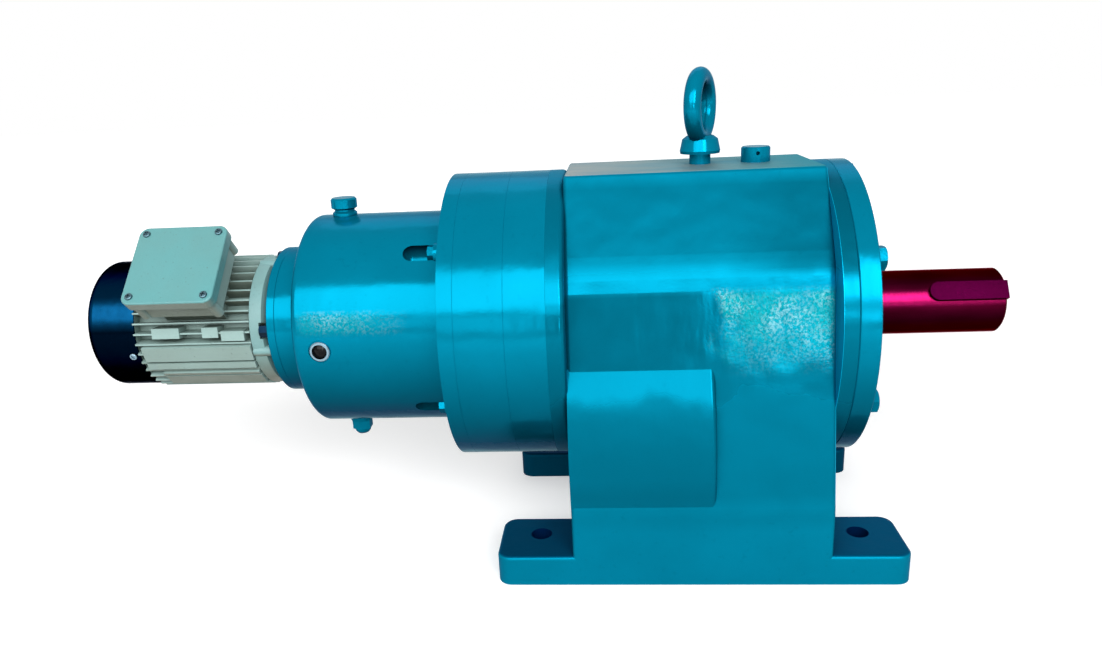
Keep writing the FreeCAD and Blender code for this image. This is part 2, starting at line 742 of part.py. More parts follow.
def main_housing():
    """Monobloc cast casing on two foot rails, with its bolt, eyebolt, breather and drain holes."""
    body = hollow_casing(casing_block())
    holes = []
    for sx in (-1, 1):
        for sy in (-1, 1):
            holes.append(Vector(sx * FOOT_HOLE_SPACING_X / 2, sy * FOOT_HOLE_SPACING_Y / 2, -1))
    body = drill(body, holes, FOOT_HOLE_RADIUS, UP, FOOT_THICKNESS + 2)
    tapped = ring_points(flange_r, COVER_BOLT_CIRCLE, COVER_BOLT_ANGLES)
    body = drill(body, tapped, COVER_BOLT_SHANK + THREAD_GAP, TO_MOTOR, COVER_BOLT_GRIP + 1.0)
    tapped = ring_points(flange_l, FLANGE_BOLT_CIRCLE, FLANGE_BOLT_ANGLES)
    body = drill(body, tapped, FLANGE_SCREW_SHANK + THREAD_GAP, TO_OUTPUT, FLANGE_SCREW_GRIP + 1.0)
    top = AXIS_HEIGHT + PAD_RISE
    depth = EYE_SHANK_DEPTH + 2.0
    body = body.cut(post(EYE_X, 0, top - depth, EYE_SHANK + THREAD_GAP, depth + 1))
    depth = TOP_WALL + 2.0
    body = body.cut(post(MAIN_BREATHER_X, 0, top - depth, MAIN_BREATHER_THREAD + THREAD_GAP, depth + 1))
    drain = Vector(body_r + 1, 0, main_drain_z())
    return body.cut(Part.makeCylinder(MAIN_DRAIN_THREAD + THREAD_GAP, CASING_WALL + 4, drain, TO_MOTOR))


def main_drain_z():
    return UNDERSIDE_RECESS + CASING_WALL + MAIN_DRAIN_RISE


def output_cover():
    """Round end cover carrying the output bearing, the seal and one countershaft bearing."""
    hub = OUTPUT_BEARING_OUTER / 2 + COVER_HUB_WALL
    body = disc(flange_r, cover_x, FLANGE_RADIUS)
    body = body.makeChamfer(COVER_SEAM, rims(body))
    body = body.fuse(disc(flange_r - COVER_SPIGOT, flange_r, CASING_OPENING - FIT))
    body = body.fuse(disc(bearing_x, flange_r, hub))
    body = body.cut(disc(bearing_x - 1, seat_x, OUTPUT_BEARING_OUTER / 2))
    body = body.cut(disc(seat_x - 1, cover_x + 1, OUTPUT_JOURNAL / 2 + 4.0))
    body = body.cut(disc(cover_x - OUTPUT_SEAL_WIDTH, cover_x + 1, OUTPUT_SEAL_OUTER / 2))
    body = body.cut(pocket(COUNTER_BEARINGS[0], flange_r, flange_r + COUNTER_BEARING_WIDTH))
    passage = COUNTER_JOURNAL / 2 + COUNTER_PASSAGE
    body = body.cut(disc(flange_r - COVER_SPIGOT - 1, flange_r + 1, passage, COUNTER))
    holes = ring_points(cover_x + 1, COVER_BOLT_CIRCLE, COVER_BOLT_ANGLES)
    return drill(body, holes, COVER_BOLT_SHANK + BOLT_GAP, TO_MOTOR, COVER_THICKNESS + 2)


def output_cover_bolts():
    bolts = []
    length = COVER_THICKNESS + COVER_BOLT_GRIP
    for p in ring_points(cover_x, COVER_BOLT_CIRCLE, COVER_BOLT_ANGLES):
        bolts.append(hex_bolt(p, TO_OUTPUT, COVER_BOLT_FLATS, COVER_BOLT_HEAD, COVER_BOLT_SHANK, length))
    return Part.makeCompound(bolts)


def output_oil_seal():
    x0 = cover_x - OUTPUT_SEAL_WIDTH + FIT
    lip = OUTPUT_JOURNAL / 2 + SEAL_LIP_GAP
    outer = OUTPUT_SEAL_OUTER / 2 - FIT
    x1 = cover_x - 1.0
    profile = [(x0, outer), (x1, outer), (x1, lip + 3.0), (x1 - 2.0, lip), (x0 + 4.0, lip), (x0, lip + 5.0)]
    return turned(profile)


def output_shaft():
    """Output shaft: inner journal, wheel seat, collar, bearing and seal journal, keyed extension."""
    seat = SHAFT_DIAMETER / 2 + WHEEL_SEAT_STEP
    wheel_l = stage_4_x - STAGE_4_WIDTH / 2
    wheel_r = stage_4_x + STAGE_4_WIDTH / 2
    end = SHAFT_DIAMETER / 2
    edge = shaft_x - SHAFT_CHAMFER
    steps = [
        (web_l + 0.5, wheel_l, INNER_JOURNAL / 2),
        (wheel_l, wheel_r, seat),
        (wheel_r, bearing_x, seat + SHAFT_COLLAR_STEP),
        (bearing_x, cover_x - 0.5, OUTPUT_JOURNAL / 2),
        (cover_x - 0.5, edge, end),
    ]
    body = stepped(steps)
    tip = turned([(edge, 0.0), (edge, end), (shaft_x, end - SHAFT_CHAMFER), (shaft_x, 0.0)])
    body = body.fuse(tip).removeSplitter()
    body = body.cut(spoke(output_keyway(), KEY_ELEVATION))
    return body.cut(disc(shaft_x - CENTRE_HOLE_DEPTH, shaft_x + 1, CENTRE_HOLE_RADIUS))


def output_keyway():
    floor = AXIS_HEIGHT + SHAFT_DIAMETER / 2 - KEY_DEPTH
    x0 = shaft_x - KEY_LENGTH
    r = KEY_WIDTH / 2
    corners = [(x0, -r, r), (shaft_x + 5.0, -r, 0), (shaft_x + 5.0, r, 0), (x0, r, r)]
    return prism(corners, level(floor), Vector(0, 0, 30.0))


def output_key():
    """Parallel key, round at its inner end, lying in the open keyway of the shaft end."""
    floor = AXIS_HEIGHT + SHAFT_DIAMETER / 2 - KEY_DEPTH + FIT
    x0 = shaft_x - KEY_LENGTH + FIT
    r = KEY_WIDTH / 2 - FIT
    corners = [(x0, -r, r), (shaft_x - 0.5, -r, 0.5), (shaft_x - 0.5, r, 0.5), (x0, r, r)]
    return spoke(prism(corners, level(floor), Vector(0, 0, KEY_HEIGHT)), KEY_ELEVATION)


def output_wheel():
    towards = math.pi + counter_turn
    seat = SHAFT_DIAMETER / 2 + WHEEL_SEAT_STEP
    return wheel(MAIN_CENTRES, STAGE_4_TEETH, stage_4_x, STAGE_4_WIDTH, 1, MAIN, towards, seat)


def output_spacer():
    wheel_l = stage_4_x - STAGE_4_WIDTH / 2
    return tube(web_r - 0.5, wheel_l, SHAFT_DIAMETER / 2 + WHEEL_SEAT_STEP, INNER_JOURNAL / 2 + FIT)


def counter_shaft():
    """Second countershaft with its pinion cut on the shaft."""
    x = stage_4_x
    half = STAGE_4_WIDTH / 2 + 2.0
    root = root_radius(MAIN_CENTRES, STAGE_4_TEETH)
    seat = COUNTER_JOURNAL / 2 + COUNTER_SEAT_STEP
    wheel_r = stage_3_x + STAGE_3_WIDTH / 2
    left = [
        (flange_l - COUNTER_BEARING_WIDTH, flange_l, COUNTER_JOURNAL / 2),
        (flange_l, wheel_r, seat),
        (wheel_r, x - half, min(root - 0.5, seat + 4.0)),
    ]
    right = [
        (x + half, flange_r - 6.0, root - 1.0),
        (flange_r - 6.0, flange_r, COUNTER_JOURNAL / 2 + 3.0),
        (flange_r, flange_r + COUNTER_BEARING_WIDTH, COUNTER_JOURNAL / 2),
    ]
    body = pinion(MAIN_CENTRES, STAGE_4_TEETH, x, 2 * half, -1, COUNTER, counter_turn)
    return body.fuse(stepped(left, COUNTER)).fuse(stepped(right, COUNTER))


def counter_wheel():
    seat = COUNTER_JOURNAL / 2 + COUNTER_SEAT_STEP
    return wheel(MAIN_CENTRES, STAGE_3_TEETH, stage_3_x, STAGE_3_WIDTH, -1, COUNTER, counter_turn, seat)


def middle_shaft():
    """Shaft from the primary train to the main casing, its pinion cut on the end."""
    x = stage_3_x
    half = STAGE_3_WIDTH / 2 + 2.0
    root = root_radius(MAIN_CENTRES, STAGE_3_TEETH)
    front = MIDDLE_BEARINGS[0]
    rear = MIDDLE_BEARINGS[1]
    seat = MIDDLE_REAR_JOURNAL / 2 - 1.0
    body = stepped(
        [
            (stage_2_x - STAGE_2_WIDTH / 2 - 3.0, rear[0], seat),
            (rear[0], rear[0] + rear[1], MIDDLE_REAR_JOURNAL / 2),
            (rear[0] + rear[1], front[0], MIDDLE_JOURNAL / 2 - 1.0),
            (front[0], front[0] + front[1], MIDDLE_JOURNAL / 2),
            (front[0] + front[1], x - half, root - 0.5),
        ]
    )
    return body.fuse(pinion(MAIN_CENTRES, STAGE_3_TEETH, x, 2 * half, 1, MAIN, math.pi + counter_turn))


def primary_wheel():
    seat = MIDDLE_REAR_JOURNAL / 2 - 1.0
    return wheel(PRIMARY_CENTRES, STAGE_2_TEETH, stage_2_x, STAGE_2_WIDTH, -1, MAIN, math.pi, seat)


def primary_counter_shaft():
    """First countershaft with its pinion cut on the shaft."""
    x = stage_2_x
    half = STAGE_2_WIDTH / 2 + 3.0
    front = PRIMARY_BEARINGS[0]
    rear = PRIMARY_BEARINGS[1]
    seat = SMALL_JOURNAL / 2 + SMALL_SEAT_STEP
    root = root_radius(PRIMARY_CENTRES, STAGE_2_TEETH)
    left = [
        (rear[0], rear[0] + rear[1], SMALL_JOURNAL / 2),
        (rear[0] + rear[1], stage_1_x + STAGE_1_WIDTH / 2, seat),
        (stage_1_x + STAGE_1_WIDTH / 2, x - half, min(root - 0.4, seat + 2.0)),
    ]
    right = [
        (x + half, front[0], SMALL_JOURNAL / 2 + 2.0),
        (front[0], front[0] + front[1], SMALL_JOURNAL / 2),
    ]
    body = pinion(PRIMARY_CENTRES, STAGE_2_TEETH, x, 2 * half, 1, PRIMARY_COUNTER, 0.0)
    return body.fuse(stepped(left, PRIMARY_COUNTER)).fuse(stepped(right, PRIMARY_COUNTER))


def primary_counter_wheel():
    seat = SMALL_JOURNAL / 2 + SMALL_SEAT_STEP
    return wheel(PRIMARY_CENTRES, STAGE_1_TEETH, stage_1_x, STAGE_1_WIDTH, 1, PRIMARY_COUNTER, 0.0, seat)


def input_pinion_shaft():
    """Hollow input shaft that takes the motor shaft, with the first pinion cut on its end."""
    x = stage_1_x
    half = STAGE_1_WIDTH / 2 + 2.0
    inner = INPUT_BEARINGS[0]
    root = root_radius(PRIMARY_CENTRES, STAGE_1_TEETH)
    body = stepped(
        [
            (adaptor_x + 3.0, inner[0] + inner[1], INPUT_JOURNAL / 2),
            (inner[0] + inner[1], x - half, root - 0.4),
        ]
    )
    body = body.fuse(pinion(PRIMARY_CENTRES, STAGE_1_TEETH, x, 2 * half, -1, MAIN, math.pi))
    end = adaptor_x + MOTOR_SHAFT_LENGTH + 1.0
    bore = MOTOR_SHAFT_DIAMETER / 2
    slot = MOTOR_KEY_WIDTH / 2 + FIT
    top = AXIS_HEIGHT + bore + MOTOR_KEY_RISE + 0.3
    body = body.cut(disc(adaptor_x, end, bore + FIT))
    return body.cut(block(adaptor_x, end, -slot, slot, AXIS_HEIGHT, top))


def bearing_carrier():
    """Housing ring on the casing, with the bearings of the middle shaft and the countershaft."""
    front = MIDDLE_BEARINGS[0]
    spigot_x = flange_l + CARRIER_SPIGOT
    body = disc(carrier_x, flange_l, FLANGE_RADIUS)
    body = body.makeChamfer(RING_SEAM, rims(body))
    body = body.fuse(disc(flange_l, spigot_x, CASING_OPENING - FIT))
    body = body.cut(disc(front[0], spigot_x + 1, MIDDLE_BEARING_OUTER / 2))
    body = body.cut(disc(carrier_x - 1, flange_l, MIDDLE_JOURNAL / 2 + MIDDLE_SEAL_WALL))
    body = body.cut(pocket(COUNTER_BEARINGS[1], flange_l - COUNTER_BEARING_WIDTH, spigot_x + 1))
    hub = MIDDLE_BEARING_OUTER / 2 + 8.0
    body = body.cut(tube(carrier_x - 1, carrier_x + CARRIER_RECESS, SPACER_BORE - 4.0, hub))
    holes = ring_points(carrier_x - 1, FLANGE_BOLT_CIRCLE, FLANGE_BOLT_ANGLES)
    return drill(body, holes, FLANGE_SCREW_SHANK + BOLT_GAP, TO_OUTPUT, CARRIER_LENGTH + 2)


def spacer_ring():
    """Distance ring between the two gear units."""
    body = disc(spacer_x, carrier_x, FLANGE_RADIUS)
    body = body.makeChamfer(RING_SEAM, rims(body))
    body = body.cut(disc(spacer_x - 1, carrier_x + 1, SPACER_BORE))
    holes = ring_points(spacer_x - 1, FLANGE_BOLT_CIRCLE, FLANGE_BOLT_ANGLES)
    return drill(body, holes, FLANGE_SCREW_SHANK + BOLT_GAP, TO_OUTPUT, SPACER_LENGTH + 2)


def primary_plate():
    """End plate of the primary unit, with a bearing of the middle shaft and one of the first countershaft."""
    front = PRIMARY_BEARINGS[0]
    spigot_x = plate_x - PLATE_SPIGOT
    body = disc(plate_x, spacer_x, FLANGE_RADIUS)
    body = body.makeChamfer(RING_SEAM, rims(body))
    body = body.fuse(disc(spigot_x, plate_x, PRIMARY_MOUTH - FIT))
    body = body.cut(disc(spigot_x - 1, spacer_x, MIDDLE_REAR_JOURNAL / 2 + 5.0))
    body = body.cut(disc(MIDDLE_BEARINGS[1][0], spacer_x + 1, MIDDLE_REAR_BEARING_OUTER / 2))
    body = body.cut(pocket(front, spigot_x - 1, front[0] + front[1]))
    holes = ring_points(plate_x - 1, FLANGE_BOLT_CIRCLE, FLANGE_BOLT_ANGLES)
    body = drill(body, holes, FLANGE_SCREW_SHANK + BOLT_GAP, TO_OUTPUT, PLATE_THICKNESS + 2)
    body = drill(body, holes, FLANGE_SCREW_HEAD_RADIUS + 0.5, TO_OUTPUT, FLANGE_SCREW_SINK + 1)
    tapped = ring_points(plate_x - 1, POCKET_BOLT_CIRCLE, POCKET_ANGLES)
    return drill(body, tapped, POCKET_BOLT_SHANK + THREAD_GAP, TO_OUTPUT, POCKET_BOLT_GRIP + 3.0)


def intermediate_oil_seal():
    """Seal on the middle shaft in the bearing carrier."""
    bore = MIDDLE_JOURNAL / 2 + MIDDLE_SEAL_WALL
    lip = MIDDLE_JOURNAL / 2 - 1.0 + SEAL_LIP_GAP
    return tube(carrier_x + 2.0, carrier_x + 10.0, bore - FIT, lip)


def flange_bolts():
    """Long sunk screws that clamp plate, spacer and carrier to the casing."""
    head = (FLANGE_SCREW_HEAD_RADIUS, FLANGE_SCREW_HEAD, FLANGE_SCREW_SOCKET)
    length = flange_l + FLANGE_SCREW_GRIP - plate_x - FLANGE_SCREW_SINK
    screws = []
    for p in ring_points(plate_x + FLANGE_SCREW_SINK, FLANGE_BOLT_CIRCLE, FLANGE_BOLT_ANGLES):
        screws.append(socket_screw(p, TO_MOTOR, *head, FLANGE_SCREW_SHANK, length))
    return Part.makeCompound(screws)


def primary_block():
    """Outer form of the primary housing: round body, bolt pockets with lugs, plug bosses."""
    body = disc(primary_x, plate_x, PRIMARY_RADIUS)
    body = body.makeFillet(PRIMARY_END_ROUND, rim_at(body, primary_x))
    ear_x = plate_x - POCKET_EAR
    for lug in ring_points(ear_x, POCKET_BOLT_CIRCLE, POCKET_ANGLES):
        body = body.fuse(Part.makeCylinder(POCKET_LUG_RADIUS, POCKET_EAR, lug, TO_OUTPUT))
    start = Vector(plate_x - POCKET_START, 0, AXIS_HEIGHT + PRIMARY_RADIUS - POCKET_SINK)
    scoop = Part.makeCylinder(POCKET_RADIUS, POCKET_START - POCKET_EAR, start, TO_OUTPUT)
    scoop = scoop.fuse(Part.makeSphere(POCKET_RADIUS, start))
    for cut in around(scoop, POCKET_ANGLES):
        body = body.cut(cut)
    top = AXIS_HEIGHT + PRIMARY_RADIUS
    body = body.fuse(post(primary_breather_x, 0, top - 6.0, BREATHER_BOSS_RADIUS, 6.0 + BREATHER_BOSS_RISE))
    low = AXIS_HEIGHT - PRIMARY_RADIUS - DRAIN_BOSS_RISE
    r = DRAIN_BOSS_RADIUS
    return body.fuse(upright(low, [(0, 0), (0, r - 2.0), (15.0, r), (15.0, 0)], primary_drain_x))


def primary_housing():
    """Round cast housing of the first two gear stages, with bolt pockets at its wide end."""
    wall = PRIMARY_RADIUS - PRIMARY_WALL
    inner = primary_x + PRIMARY_END_WALL
    step = stage_2_x - STAGE_2_WIDTH / 2 - 12.0
    body = primary_block().cut(disc(inner, step, wall))
    body = body.cut(disc(step - 1, plate_x + 1, PRIMARY_MOUTH))
    body = body.cut(disc(primary_x - 1, inner + 1, INPUT_BEARING_OUTER / 2))
    rear = PRIMARY_BEARINGS[1]
    body = body.cut(pocket(rear, rear[0], inner + 1))
    ears = ring_points(plate_x + 1, POCKET_BOLT_CIRCLE, POCKET_ANGLES)
    body = drill(body, ears, POCKET_BOLT_SHANK + BOLT_GAP, TO_MOTOR, POCKET_EAR + 4)
    tapped = ring_points(primary_x - 1, ADAPTOR_SCREW_CIRCLE, ADAPTOR_SCREW_ANGLES)
    body = drill(body, tapped, ADAPTOR_SCREW_SHANK + THREAD_GAP, TO_OUTPUT, 13.0)
    thread = PRIMARY_PLUG_THREAD + THREAD_GAP
    low = AXIS_HEIGHT - PRIMARY_RADIUS - DRAIN_BOSS_RISE
    body = body.cut(post(primary_breather_x, 0, AXIS_HEIGHT + wall - 10.0, thread, 40.0))
    body = body.cut(post(primary_drain_x, 0, low - 1.0, thread, 40.0))
    face = AXIS_HEIGHT + PRIMARY_RADIUS - SIGHT_GLASS_SINK
    glass = post(sight_glass_x, 0, face - 30.0, SIGHT_GLASS_RADIUS - 1.5, 40.0)
    seat = post(sight_glass_x, 0, face, SIGHT_GLASS_RADIUS + 1.5, 9.0)
    return body.cut(spoke(glass.fuse(seat), SIGHT_GLASS_ELEVATION))


def primary_flange_bolts():
    bolts = []
    length = POCKET_EAR + POCKET_BOLT_GRIP
    for p in ring_points(plate_x - POCKET_EAR, POCKET_BOLT_CIRCLE, POCKET_ANGLES):
        bolts.append(hex_bolt(p, TO_MOTOR, POCKET_BOLT_FLATS, POCKET_BOLT_HEAD, POCKET_BOLT_SHANK, length))
    return Part.makeCompound(bolts)


def main_breather():
    """Breather with a small vent bored into its side."""
    r = MAIN_BREATHER_RADIUS
    h = MAIN_BREATHER_HEIGHT
    thread = MAIN_BREATHER_THREAD
    top = AXIS_HEIGHT + PAD_RISE
    profile = [(-22.0, 0), (-22.0, thread), (0, thread), (0, r), (h - 1.5, r), (h, r - 1.5), (h, 0)]
    body = upright(top, profile, MAIN_BREATHER_X)
    vent = Vector(MAIN_BREATHER_X, -r - 1, top + h * 0.6)
    return body.cut(Part.makeCylinder(2.0, 12.0, vent, Vector(0, 1, 0)))


def main_drain_plug():
    """Drain plug low in the output end wall."""
    base = Vector(body_r, 0, main_drain_z())
    return hex_bolt(base, TO_OUTPUT, 22.0, 10.0, MAIN_DRAIN_THREAD, CASING_WALL)


def eyebolt():
    """Lifting eye with a shaped collar and a threaded shank."""
    top = AXIS_HEIGHT + PAD_RISE
    shank = EYE_SHANK
    profile = [(-EYE_SHANK_DEPTH, 0), (-EYE_SHANK_DEPTH, shank), (11.0, shank), (11.0, 20.8), (14.0, 21.4)]
    profile += [(26.0, 18.8), (29.5, 14.0), (29.5, 0)]
    body = upright(top, profile, EYE_X)
    centre = Vector(EYE_X, 0, top + EYE_RING_FOOT + EYE_RING_RADIUS + EYE_SECTION)
    ring = Part.makeTorus(EYE_RING_RADIUS, EYE_SECTION, centre, TO_OUTPUT)
    ring.rotate(centre, UP, -EYE_TURN)
    return body.fuse(ring)


def primary_breather():
    base = AXIS_HEIGHT + PRIMARY_RADIUS + BREATHER_BOSS_RISE
    thread = PRIMARY_PLUG_THREAD
    profile = [(-12.0, 0), (-12.0, thread), (0, thread), (0, 13.5), (2.5, 13.5), (4.5, 11.0), (6.0, 11.0)]
    profile += [(8.0, 14.3), (17.0, 14.3), (19.0, 12.5), (19.0, 0)]
    return upright(base, profile, primary_breather_x)


def primary_drain_plug():
    base = Vector(primary_drain_x, 0, AXIS_HEIGHT - PRIMARY_RADIUS - DRAIN_BOSS_RISE)
    body = hex_bolt(base, UP * -1, 21.0, 11.0, PRIMARY_PLUG_THREAD, 20.0)
    dome = [(-17.0, 0), (-17.0, 7.0), (-14.5, 9.0), (-11.0, 10.0), (-11.0, 0)]
    return body.fuse(upright(base.z, dome, primary_drain_x))


def sight_glass_bezel():
    """Screwed ring of the oil sight glass on the front of the primary housing."""
    r = SIGHT_GLASS_RADIUS
    base = AXIS_HEIGHT + PRIMARY_RADIUS - SIGHT_GLASS_SINK
    profile = [(-8.0, r - 3.5), (-8.0, r - 1.6), (0, r - 1.6), (0, r), (2.6, r), (3.4, r - 0.8)]
    profile += [(3.4, r - 2.6), (-2.0, r - 2.6), (-2.0, r - 3.5)]
    return spoke(upright(base, profile, sight_glass_x), SIGHT_GLASS_ELEVATION)


def sight_glass_lens():
    r = SIGHT_GLASS_RADIUS - 2.6 - FIT
    base = AXIS_HEIGHT + PRIMARY_RADIUS - SIGHT_GLASS_SINK
    profile = [(-1.95, 0), (-1.95, r), (2.0, r), (2.6, r - 1.0), (2.6, 0)]
    return spoke(upright(base, profile, sight_glass_x), SIGHT_GLASS_ELEVATION)


def motor_adaptor():
    """Ring that carries the input shaft bearing and takes the motor flange."""
    place = INPUT_BEARINGS[1]
    bore = INPUT_BEARING_OUTER / 2
    body = disc(adaptor_x, primary_x, ADAPTOR_RADIUS)
    body = body.cut(disc(adaptor_x - 1, adaptor_x + ADAPTOR_SPIGOT, ADAPTOR_SPIGOT_RADIUS))
    body = body.cut(disc(adaptor_x, place[0] + place[1], bore))
    body = body.cut(disc(adaptor_x, primary_x + 1, bore - INPUT_SEAL_STEP))
    tapped = ring_points(adaptor_x - 1, MOTOR_BOLT_CIRCLE, MOTOR_BOLT_ANGLES)
    body = drill(body, tapped, MOTOR_BOLT_SHANK + THREAD_GAP, TO_OUTPUT, MOTOR_BOLT_GRIP + 4.0)
    screws = ring_points(adaptor_x - 1, ADAPTOR_SCREW_CIRCLE, ADAPTOR_SCREW_ANGLES)
    body = drill(body, screws, ADAPTOR_SCREW_SHANK + BOLT_GAP, TO_OUTPUT, ADAPTOR_LENGTH + 2)
    return drill(body, screws, ADAPTOR_SCREW_HEAD_RADIUS + 0.5, TO_OUTPUT, ADAPTOR_SCREW_SINK + 1)


def adaptor_screws():
    """Sunk socket screws that hold the adaptor on the primary housing."""
    head = (ADAPTOR_SCREW_HEAD_RADIUS, ADAPTOR_SCREW_HEAD, ADAPTOR_SCREW_SOCKET)
    screws = []
    for p in ring_points(adaptor_x + ADAPTOR_SCREW_SINK, ADAPTOR_SCREW_CIRCLE, ADAPTOR_SCREW_ANGLES):
        screws.append(socket_screw(p, TO_MOTOR, *head, ADAPTOR_SCREW_SHANK, ADAPTOR_LENGTH))
    return Part.makeCompound(screws)


def input_oil_seal():
    place = INPUT_BEARINGS[1]
    bore = INPUT_BEARING_OUTER / 2 - INPUT_SEAL_STEP
    return tube(place[0] + place[1] + 0.5, primary_x, bore - FIT, INPUT_JOURNAL / 2 + SEAL_LIP_GAP)


def motor_flange():
    """Round motor flange with its spigot in the adaptor."""
    body = disc(motor_x, adaptor_x, ADAPTOR_RADIUS)
    body = body.makeChamfer(COVER_SEAM, rims(body))
    body = body.fuse(disc(adaptor_x, adaptor_x + ADAPTOR_SPIGOT - 0.5, ADAPTOR_SPIGOT_RADIUS - FIT))
    body = body.cut(disc(motor_x - 1, adaptor_x + ADAPTOR_SPIGOT, MOTOR_FLANGE_BORE))
    holes = ring_points(motor_x - 1, MOTOR_BOLT_CIRCLE, MOTOR_BOLT_ANGLES)
    return drill(body, holes, MOTOR_BOLT_SHANK + BOLT_GAP, TO_OUTPUT, MOTOR_FLANGE + 2)


def motor_flange_bolts():
    bolts = []
    length = MOTOR_FLANGE + MOTOR_BOLT_GRIP
    for p in ring_points(motor_x, MOTOR_BOLT_CIRCLE, MOTOR_BOLT_ANGLES):
        bolts.append(hex_bolt(p, TO_MOTOR, MOTOR_BOLT_FLATS, MOTOR_BOLT_HEAD, MOTOR_BOLT_SHANK, length))
    return Part.makeCompound(bolts)


def drive_end_shield():
    """Dished shield with the front motor bearing, lugs on its rim and room for the flange bolts."""
    place = MOTOR_BEARINGS[0]
    rim = FIN_RADIUS - 1.0
    face = SHIELD_FACE_RADIUS
    body = turned(
        [
            (frame_r, 0),
            (frame_r, rim),
            (frame_r + SHIELD_RIM_LENGTH, rim - 1.0),
            (motor_x - 3.0, face),
            (motor_x, face),
            (motor_x, 0),
        ]
    )
    lug_x = SHIELD_LENGTH - 3.0
    for lug in ring_points(frame_r, rim - 4.0, SHIELD_LUG_ANGLES):
        body = body.fuse(Part.makeCylinder(SHIELD_LUG_RADIUS, lug_x, lug, TO_OUTPUT))
    room = MOTOR_BOLT_FLATS / math.sqrt(3) + MOTOR_BOLT_ROOM
    heads = ring_points(motor_x + 1, MOTOR_BOLT_CIRCLE, MOTOR_BOLT_ANGLES)
    body = drill(body, heads, room, TO_MOTOR, MOTOR_BOLT_HEAD + MOTOR_BOLT_ROOM + 1)
    body = body.cut(disc(frame_r - 1, frame_r + 5.0, FRAME_BORE - 3.0))
    body = body.cut(disc(frame_r - 1, place[0] + place[1], SMALL_BEARING_OUTER / 2))
    return body.cut(disc(frame_r - 1, motor_x + 1, SMALL_JOURNAL / 2 + 4.0))


def frame_outline(x):
    """Motor frame section with axial fins all round."""
    ground = FRAME_BORE + FRAME_WALL
    foot = math.degrees((FIN_THICKNESS / 2 + 0.5) / ground)
    crest = math.degrees((FIN_THICKNESS / 2 - 0.3) / FIN_RADIUS)
    marks = ((ground, -foot), (FIN_RADIUS, -crest), (FIN_RADIUS, crest), (ground, foot))
    points = []
    for elevation in even(FIN_START, FIN_COUNT):
        for radius, step in marks:
            points += ring_points(x, radius, [elevation + step])
    return Part.makePolygon(points + points[:1])


def motor_frame():
    """Finned cast frame with seat for the terminal box, side pads and grooved rails."""
    body = Part.Face(frame_outline(frame_l)).extrude(Vector(FRAME_LENGTH, 0, 0))
    z = AXIS_HEIGHT
    inner = z + FRAME_BORE + 2.0
    outer = z + FRAME_PAD_RADIUS
    for start, end, elevation, half in FRAME_PADS:
        pad = block(frame_l + start * FRAME_LENGTH, frame_l + end * FRAME_LENGTH, -half, half, inner, outer)
        body = body.fuse(spoke(pad, elevation))
    for start, elevation, half, middle in FRAME_RAILS:
        bar = block(frame_l + start, frame_r - 1.0, -half, half, inner, outer)
        low = middle - RAIL_GROOVE / 2
        high = middle + RAIL_GROOVE / 2
        groove = block(frame_l + start - 1, frame_r, low, high, outer - RAIL_GROOVE_DEPTH, outer + 1)
        body = body.fuse(spoke(bar, elevation)).cut(spoke(groove, elevation))
    dx = BOX_NECK_LENGTH / 2 + 1.0
    dy = BOX_NECK_WIDTH / 2 + 1.0
    room = block(box_x - dx, box_x + dx, -dy, dy, z + BOX_SEAT, z + BOX_FLOOR)
    seat = block(box_x - dx, box_x + dx, -dy, dy, z + FRAME_BORE, z + BOX_SEAT)
    body = body.cut(spoke(room, BOX_ELEVATION)).fuse(spoke(seat, BOX_ELEVATION))
    body = body.cut(disc(frame_l - 1, frame_r + 1, FRAME_BORE))
    passage = post(box_x, 0, z + FRAME_BORE - 10.0, BOX_PASSAGE, 30.0)
    return body.cut(spoke(passage, BOX_ELEVATION))


def stack_place():
    middle = (frame_l + frame_r) / 2
    return middle - STACK_LENGTH / 2, middle + STACK_LENGTH / 2


def stator_core():
    """Laminated stator ring with open slots."""
    x0, x1 = stack_place()
    body = tube(x0, x1, FRAME_BORE - FIT, STATOR_BORE)
    z = AXIS_HEIGHT + STATOR_BORE
    slot = block(x0 - 1, x1 + 1, -SLOT_WIDTH / 2, SLOT_WIDTH / 2, z - 2.0, z + SLOT_DEPTH)
    return body.cut(Part.makeCompound(around(slot, even(0.0, STATOR_SLOTS))))


def stator_winding():
    """Winding with two end turns joined through the slots."""
    x0, x1 = stack_place()
    outer = FRAME_BORE - 5.0
    inner = STATOR_BORE + 3.0
    turns = tube(x0 - END_TURN_LENGTH, x0 - FIT, outer, inner)
    z = AXIS_HEIGHT + STATOR_BORE
    half = SLOT_WIDTH / 2 - 0.1
    bar = block(x0 - 2, x1 + 2, -half, half, z + 3.5, z + SLOT_DEPTH - 0.1)
    parts = [tube(x1 + FIT, x1 + END_TURN_LENGTH, outer, inner)]
    return turns.multiFuse(parts + around(bar, even(0.0, STATOR_SLOTS)))


def rotor_core():
    """Rotor stack with its cast end rings."""
    x0, x1 = stack_place()
    outer = STATOR_BORE - AIR_GAP
    bore = SMALL_JOURNAL / 2 + 4.0
    ring = (bore + 8.0, outer - 3.0)
    profile = [(x0 - 8.0, ring[0]), (x0 - 8.0, ring[1]), (x0, ring[1]), (x0, outer), (x1, outer)]
    profile += [(x1, ring[1]), (x1 + 8.0, ring[1]), (x1 + 8.0, ring[0]), (x1, ring[0]), (x1, bore + FIT)]
    profile += [(x0, bore + FIT), (x0, ring[0])]
    return turned(profile)


